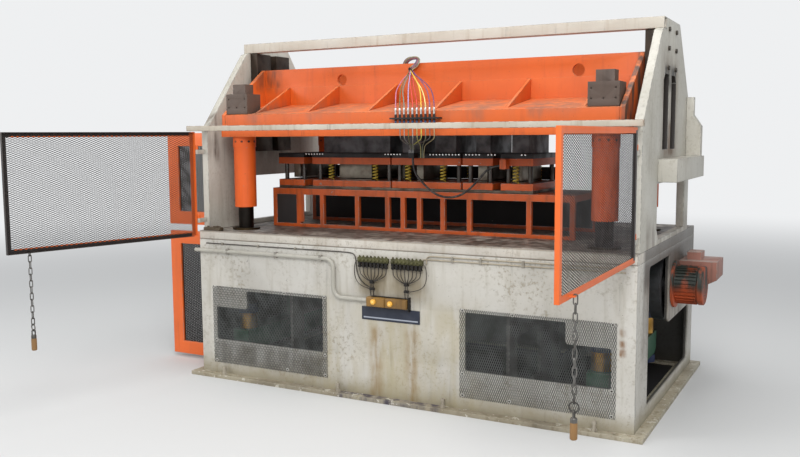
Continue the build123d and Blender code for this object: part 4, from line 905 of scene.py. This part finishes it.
def lube_lines():
    """Black lines that fan in from the ports, and the ones that run in from the sides."""
    tubes = Shape()
    y = FRONT - 0.017
    for middle, fan_x in zip(MANIFOLDS, JUNCTIONS):
        for x in middle + PORTS:
            lean = (x - fan_x) * 0.9
            tubes.swept(eased([(x, y, 0.842), (x, y, 0.815), (fan_x + lean, y, 0.790),
                               (fan_x + lean * 0.35, y - 0.004, 0.760), (fan_x, y, 0.752)]), 0.0028, 6)
        for offset in (-0.006, 0.006):
            tubes.swept(eased([(fan_x + offset, y, 0.752), (fan_x + offset * 1.5, y, 0.72),
                               (fan_x + offset * 2, y, 0.69), (fan_x + offset, y, 0.655)]), 0.0030, 6)
    for sign, x in ((-1, -0.205), (1, 0.215)):
        tubes.swept(eased([(x - sign * 0.008, y, 0.884), (x + sign * 0.035, y, 0.880),
                           (x + sign * 0.045, y, 0.800), (x + sign * 0.020, y, 0.735),
                           (sign * 0.155, y, 0.708), (sign * 0.120, y, 0.708)], 4), 0.0026, 8)
    tubes.swept(eased([(-1.44, WALL, 0.925), (-0.40, WALL, 0.925), (-0.27, WALL, 0.925),
                       (-0.245, WALL, 0.905), (-0.24, WALL, 0.86), (-0.235, WALL, 0.80),
                       (-0.20, WALL, 0.74), (-0.128, WALL - 0.01, 0.712)], 4), 0.0035, 8)
    tubes.build("lube_lines", moulded("lube_line_black", (44, 36, 29), 0.4, 0.25), "tube_plastic")


def lube_pair():
    """The pair of cream lines along the right half, and the clips over all the lines."""
    pair = Shape()
    for z, x in ((0.9325, 0.27), (0.911, 0.235)):
        pair.swept(eased([(x - 0.02, WALL, z - 0.05), (x - 0.018, WALL, z - 0.012), (x, WALL, z),
                          (x + 0.04, WALL, z), (1.0, WALL, z), (1.44, WALL, z)], 4), 0.0040, 10)
    pair.build("lube_pair", worn_paint("pipe_cream_paint", (178, 168, 148), (128, 114, 92), grime=0.6,
                                       chips=0.4), "tube_plastic", replaces="lube_tubes")
    xs = np.array([-1.3, -1.0, -0.7, 0.42, 0.60, 0.86, 1.12, 1.36])
    Shape().slabs(row(xs - 0.008, FRONT - 0.0105, np.where(xs > 0, 0.902, 0.917)),
                  row(xs + 0.008, FRONT, np.where(xs > 0, 0.941, 0.934)), 0.0022).build(
        "line_clips", machined("clip_steel", (170, 164, 152), (96, 84, 70)), "screw_zinc")


def gold_boxes(black):
    """The two lacquered boxes with their knobs and caps, on a black bracket."""
    gold = worn_paint("gold_lacquer", (150, 112, 50), (92, 68, 38), streak=0.9, grime=1.0, chips=0.4,
                      rough=0.35, edge=(110, 84, 50))
    boxes = Shape()
    boxes.slabs([(-0.150, FRONT - 0.044, 0.600), (-0.016, FRONT - 0.044, 0.600)],
                [(-0.019, FRONT, 0.660), (0.132, FRONT, 0.660)], 0.005, 4)
    boxes.slabs([(-0.146, FRONT - 0.047, 0.604), (-0.012, FRONT - 0.047, 0.604)],
                [(-0.023, FRONT - 0.040, 0.656), (0.128, FRONT - 0.040, 0.656)], 0.002, 3, 1)
    boxes.build("gold_boxes", gold, "box_brass", replaces="valve_boxes")
    knobs = np.array([(-0.096, FRONT - 0.044, 0.633), (0.022, FRONT - 0.044, 0.629)])
    Shape().turned(knobs, OUT, [(0, 0.012), (0.003, 0.012), (0.003, 0.0175), (0.013, 0.0165),
                                (0.0158, 0.013)], 24).build(
        "valve_knobs", moulded("knob_yellow", (238, 176, 60), 0.3, 0.1), "box_brass")
    Shape().turned(knobs - (0, 0.015, 0), OUT, [(0, 0.0085), (0.0008, 0.0085), (0.001, 0.006)], 4,
                   math.pi / 4).build("knob_caps", moulded("knob_cap", (250, 214, 120), 0.25, 0.05),
                                      "box_brass")
    Shape().slabs([(0.132, FRONT - 0.030, 0.585), (-0.12, FRONT - 0.022, 0.661)],
                  [(0.142, FRONT, 0.672), (0.125, FRONT - 0.012, 0.667)], 0.002).build(
        "box_bracket", black, "manifold_metal")


class PRESS_OT_pipes(bpy.types.Operator):
    """Lubrication manifolds, their tubes, valve boxes, conduit and the blank plate"""
    bl_idname = "press.pipes"
    bl_label = "Front pipework"

    def execute(self, context):
        black = cast("black_valves", (32, 28, 25), (16, 14, 12), 0.45, 0.3, 0.6)
        manifolds(black)
        lube_lines()
        lube_pair()
        joints = Shape()
        for x in JUNCTIONS:
            joints.slabs([(x - 0.013, FRONT - 0.030, 0.742), (x - 0.016, FRONT - 0.026, 0.700)],
                         [(x + 0.013, FRONT - 0.006, 0.764), (x + 0.016, FRONT - 0.008, 0.716)], 0.003)
        joints.build("lube_junctions", black, "manifold_metal")
        gold_boxes(black)
        soften(plate_enamel(), 0.001, "name_plate")
        coat(worn_paint("conduit_white_paint", (178, 175, 165), (136, 130, 116), grime=0.6, chips=0.4),
             "conduit_pipe")
        xs = np.array([-1.25, -0.85, -0.50])
        Shape().slabs(row(xs - 0.012, FRONT - 0.0258, 0.856), row(xs + 0.012, FRONT, 0.896), 0.006).build(
            "conduit_saddles", machined("saddle_zinc", (178, 174, 166), (110, 102, 90), 0.4, 0.4),
            "screw_zinc")
        return {"FINISHED"}


def fittings(spots, dark):
    """Push-in fittings: a hexagon and a collar over the bulkhead and the same again under it."""
    nuts = Shape().turned(spots, UP, [(0, 0.0079), (0.012, 0.0079), (0.013, 0.0068), (0.020, 0.0068)], 6)
    under = spots - (0, 0, 0.010)
    nuts.turned(under, DOWN, [(0, 0.0079), (0.010, 0.0079), (0.011, 0.0066)], 6)
    nuts.build("fitting_nuts", dark, "fitting_brass", "ram")
    Shape().turned(spots + (0, 0, 0.020), UP, [(0, 0.0066), (0.018, 0.0066), (0.021, 0.0076),
                                               (0.034, 0.0076), (0.038, 0.0060)], 14).build(
        "fitting_tops", machined("fitting_nickel", (226, 226, 224), (150, 148, 142), 0.25, 0.2),
        "fitting_brass", "ram", "air_fittings")
    Shape().turned(under - (0, 0, 0.011), DOWN, [(0, 0.0072), (0.006, 0.0072), (0.007, 0.0060),
                                                 (0.020, 0.0060), (0.025, 0.0050)], 12).build(
        "fitting_collars", moulded("collar_blue_plastic", (46, 74, 116), 0.35, 0.1), "fitting_brass", "ram")


def air_tubes(xs, y, dark):
    """Coloured tubes that lean together from the fittings into a knot. From there each keeps its
    own place on a spiral inside one bundle, which goes over the web and ends behind it."""
    tints = ((190, 120, 150), (98, 104, 58), (110, 134, 122), (176, 160, 204), (222, 66, 52),
             (214, 52, 46), (240, 196, 60), (230, 220, 140), (118, 74, 118), (96, 58, 104))
    bundle = eased([(-0.152, -0.284, 2.080), (-0.138, -0.288, 2.098), (-0.103, -0.286, 2.120),
                    (-0.094, -0.274, 2.146), (-0.116, -0.256, 2.163), (-0.160, -0.242, 2.166),
                    (-0.200, -0.226, 2.158), (-0.230, -0.211, 2.132), (-0.237, -0.204, 2.080),
                    (-0.237, -0.204, 1.965)])
    golden_angle = 2.3998
    turn = np.linspace(0, 2.4 * math.pi, len(bundle))
    tight = 0.0130 + 0.003 * np.sin(turn * 1.3)
    for i, (x, tint) in enumerate(zip(xs, tints)):
        place = turn + i * golden_angle
        ring = tight * math.sqrt((i + 0.4) / 10)
        strand = bundle + row(ring * np.cos(place), 0.0, ring * np.sin(place))
        start = np.array([x, y, 1.850])
        bow = np.array([0.034 * (x - 0.125) / 0.130 + 0.008 * math.sin(i * 2.3), 0.0, 0.012])
        lead = [(x, y, 1.797), start]
        for share, bent in ((0.32, 1), (0.64, 0.7), (0.88, 0.15)):
            lead.append(start * (1 - share) + strand[0] * share + bow * bent)
        path = np.concatenate([eased([*lead, strand[0]])[:-1], strand])
        Shape().swept(path, 0.0034, 8).build("air_tube_%d" % i, tube_finish("tube_tint_%d" % i, tint),
                                             "tube_plastic", "ram", "" if i else "air_tubes")
    ties = Shape()
    for spot, axis in ((bundle[1], bundle[3] - bundle[0]), (bundle[-6], UP)):
        ties.turned([spot], axis, [(-0.006, 0.0172), (-0.004, 0.0182), (0.004, 0.0182), (0.006, 0.0172)], 18)
    ties.slabs([(-0.264, -0.236, 1.945)], [(-0.210, -0.180, 1.985)], 0.004)
    ties.build("tube_ties", dark, "fitting_brass", "ram")


def drop_tubes(xs, y):
    """Grey and yellow tubes from the fittings' undersides down to the dies."""
    high, low = (1.560, -0.412), (1.505, -0.428)
    drops = ((-0.085, high, (132, 134, 128)), (-0.078, low, (150, 152, 146)), (-0.076, high, (116, 118, 70)),
             (-0.060, low, (162, 164, 158)), (-0.004, low, (176, 172, 110)), (-0.067, high, (206, 206, 90)),
             (0.008, low, (120, 128, 108)), (-0.058, high, (90, 92, 92)), (0.018, low, (168, 160, 120)))
    for i, (x, (end, (foot, deep), tint)) in enumerate(zip(xs[1:], drops)):
        path = eased([(x, y, 1.716), (x, y, 1.66), (x, y + 0.004, 1.632),
                      (x * 0.5 + end * 0.5, -0.60, 1.606), (end * 0.9 + x * 0.1, -0.46, 1.590),
                      (end, deep, foot + 0.035), (end, deep, foot)], 4)
        Shape().swept(path, 0.0030, 8).build("drop_tube_%d" % i, moulded("drop_tint_%d" % i, tint, 0.35, 0.3),
                                             "tube_plastic", "ram")


def die_hose():
    """The black hose between the dies, a curve with a round section."""
    curve = bpy.data.curves.new("die_hose_line", "CURVE")
    curve.dimensions = "3D"
    route = ((-0.071, -0.410, 1.503), (-0.071, -0.410, 1.420), (0.015, -0.425, 1.335),
             (0.100, -0.435, 1.272), (0.200, -0.438, 1.250), (0.300, -0.435, 1.275),
             (0.380, -0.420, 1.350), (0.470, -0.405, 1.460), (0.545, -0.405, 1.460))
    spline = curve.splines.new("NURBS")
    spline.points.add(len(route) - 1)
    spline.points.foreach_set("co", [c for point in route for c in (*point, 1.0)])
    spline.order_u = 3
    spline.use_endpoint_u = True
    curve.resolution_u = 12
    curve.bevel_depth = 0.007
    curve.bevel_resolution = 4
    curve.use_fill_caps = True
    curve.materials.append(moulded("hose_black_rubber", (34, 32, 32), 0.5, 0.3))
    hose = placed("die_hose_line", curve)
    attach(hose, "ram")
    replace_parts(hose, "die_hose")


class PRESS_OT_air(bpy.types.Operator):
    """Air bulkhead, push-in fittings, coloured tubes and the die hose"""
    bl_idname = "press.air"
    bl_label = "Air lines"

    def execute(self, context):
        dark = cast("bulkhead_black", (46, 44, 44), (24, 22, 22), 0.45, 0.4)
        soften(dark, 0.0015, "air_bulkhead")
        y = -0.766
        xs = -0.005 + np.arange(10) * 0.029
        fittings(row(xs, y, 1.760), dark)
        air_tubes(xs, y, dark)
        drop_tubes(xs, y)
        die_hose()
        return {"FINISHED"}


class PRESS_OT_fasteners(bpy.types.Operator):
    """Sleeve bolts, strip screws and the clamp at the bed's left corner"""
    bl_idname = "press.fasteners"
    bl_label = "Fasteners"

    def execute(self, context):
        bolts = Shape()
        for x in (-1.262, 1.262):
            for y in (PRESS_Y - 0.535, PRESS_Y + 0.535):
                for turn in np.arange(10) * 2 * math.pi / 10 + 0.1:
                    out = np.array([math.cos(turn), math.sin(turn), 0])
                    bolts.turned([(x, y, 1.618) + 0.0775 * out], out,
                                 [(0, 0.0085), (0.0012, 0.0085), (0.0014, 0.0065)], 10)
        bolts.build("sleeve_bolts", cast("socket_screw_black", (48, 44, 42), (22, 20, 18), 0.45, 0.4),
                    "bolt_black", "ram")
        runs = ((-0.892, -0.735), (-0.264, -0.130), (0.067, 0.285), (0.319, 0.415), (0.469, 0.529),
                (0.690, 0.730))
        xs = np.concatenate([np.arange(start, end, 0.0225) for start, end in runs])
        Shape().turned(row(xs, -0.4345, 1.5285), OUT, [(0, 0.0052), (0.0015, 0.0052), (0.0022, 0.0040)],
                       10).build("strip_heads", machined("head_nickel", (232, 232, 230), (170, 168, 162),
                                                         0.25, 0.2), "screw_zinc", "ram")
        foot = Shape()
        foot.slabs([(-1.470, -0.856, 1.0101), (-1.392, -0.850, 1.0320)],
                   [(-1.330, -0.812, 1.0330), (-1.360, -0.816, 1.0420)], 0.003)
        foot.turned([(-1.445, -0.834, 1.032), (-1.345, -0.834, 1.032)], UP,
                    [(0, 0.0085), (0.008, 0.0085), (0.0095, 0.0070)], 6)
        foot.build("foot_clamp", cast("clamp_casting", (96, 84, 68), (44, 36, 28), 0.5, 0.4), "bolt_black")
        return {"FINISHED"}


class PRESS_OT_shade_sheets(bpy.types.Operator):
    """Thin black sheets of painted shade behind the dies and inside the base, over its floor too"""
    bl_idname = "press.closing"
    bl_label = "Painted shade sheets"

    def execute(self, context):
        # Painted shade: black sheets that darken the gaps behind the dies and the inside of the base.
        black = worn_paint("closing_sheet_paint", (26, 23, 23), (14, 13, 13), streak=0.6, grime=0.5,
                           chips=0.2, rough=0.7)
        for name, low, high in (("support_back_shade_sheet", (-1.188, 0.1262, 1.036), (0.976, 0.1277, 1.239)),
                                ("die_back_shade_sheet", (-1.170, 0.1400, 1.349), (0.738, 0.1415, 1.436)),
                                ("left_end_shade_sheet", (-1.4745, -0.780, 0.030), (-1.4730, 0.830, 0.945)),
                                ("base_floor_shade_sheet", (-1.490, -0.850, 0.006), (1.490, 0.850, 0.009))):
            Shape().slabs([low], [high], 0.0006).build(name, black, "panel_dark")
        return {"FINISHED"}


class PRESS_OT_motor(bpy.types.Operator):
    """Drive motor with cooling fins and a vented fan cover"""
    bl_idname = "press.motor"
    bl_label = "Motor"

    def execute(self, context):
        stains_and_shade = [((1.6, 0.17, 0.80), (0.2, 0.2, 0.12), 0.06, (40, 46, 40), 1.2, 0.08)]
        orange = worn_paint("motor_orange_paint", (196, 84, 38), (110, 58, 36), streak=0.6, grime=0.8,
                            chips=0.4, stains_and_shade=stains_and_shade)
        axis = (1, 0, 0)
        home = np.array([1.5, 0.175, 0.70])
        shape = Shape()
        shape.turned([home], axis, [(0, 0.146), (0.002, 0.150), (0.016, 0.150), (0.018, 0.147),
                                    (0.018, 0.112), (0.150, 0.112), (0.152, 0.118), (0.158, 0.124),
                                    (0.185, 0.124), (0.190, 0.119), (0.1915, 0.100), (0.1915, 0.030)], 48)
        angle = np.arange(32) * 2 * math.pi / 32
        radial = row(0.0, np.cos(angle), np.sin(angle))
        across = row(0.0, -np.sin(angle), np.cos(angle))
        corners = np.array([(0.110, -0.0022), (0.1235, -0.0014), (0.1235, 0.0014), (0.110, 0.0022)])
        section = corners[None, :, :1] * radial[:, None] + corners[None, :, 1:] * across[:, None]
        start = home + (0.022, 0, 0) + section
        shape.rings(np.stack([start, start + (0.124, 0, 0)], axis=1))
        shape.build("motor_finned_barrel", orange, "motor_orange", replaces="drive_motor")
        vents = Shape()
        turns = np.linspace(0, 2 * np.pi, 18, endpoint=False)
        for radius in (0.045, 0.065, 0.085):
            spots = row(1.6905, home[1] + radius * np.cos(turns), home[2] + radius * np.sin(turns))
            vents.turned(spots, axis, [(0, 0.0062), (0.0012, 0.0060)], 8)
        vents.build("motor_vents", cast("vent_black", (22, 20, 20), (12, 12, 12)), "bolt_black")
        return {"FINISHED"}


steps = (PRESS_OT_stage, PRESS_OT_base, PRESS_OT_frames, PRESS_OT_ram, PRESS_OT_dies, PRESS_OT_guards,
         PRESS_OT_chains, PRESS_OT_pipes, PRESS_OT_air, PRESS_OT_fasteners, PRESS_OT_shade_sheets, PRESS_OT_motor)


class PRESS_PT_panel(bpy.types.Panel):
    """Lists the sizes and the steps in the 3D view's sidebar"""
    bl_idname = "PRESS_PT_panel"
    bl_label = "Strip line press"
    bl_space_type = "VIEW_3D"
    bl_region_type = "UI"
    bl_category = "Press"

    def draw(self, context):
        column = self.layout.column()
        for name in PressSettings.__annotations__:
            column.prop(context.scene.press_settings, name)
        for step in steps:
            column.operator(step.bl_idname)


def register():
    for item in (PressSettings, *steps, PRESS_PT_panel):
        bpy.utils.register_class(item)
    bpy.types.Scene.press_settings = PointerProperty(type=PressSettings)


def unregister():
    del bpy.types.Scene.press_settings
    for item in reversed((PressSettings, *steps, PRESS_PT_panel)):
        bpy.utils.unregister_class(item)


def main():
    register()
    for step in steps:
        group, action = step.bl_idname.split(".")
        getattr(getattr(bpy.ops, group), action)()


if __name__ == "__main__":
    main()
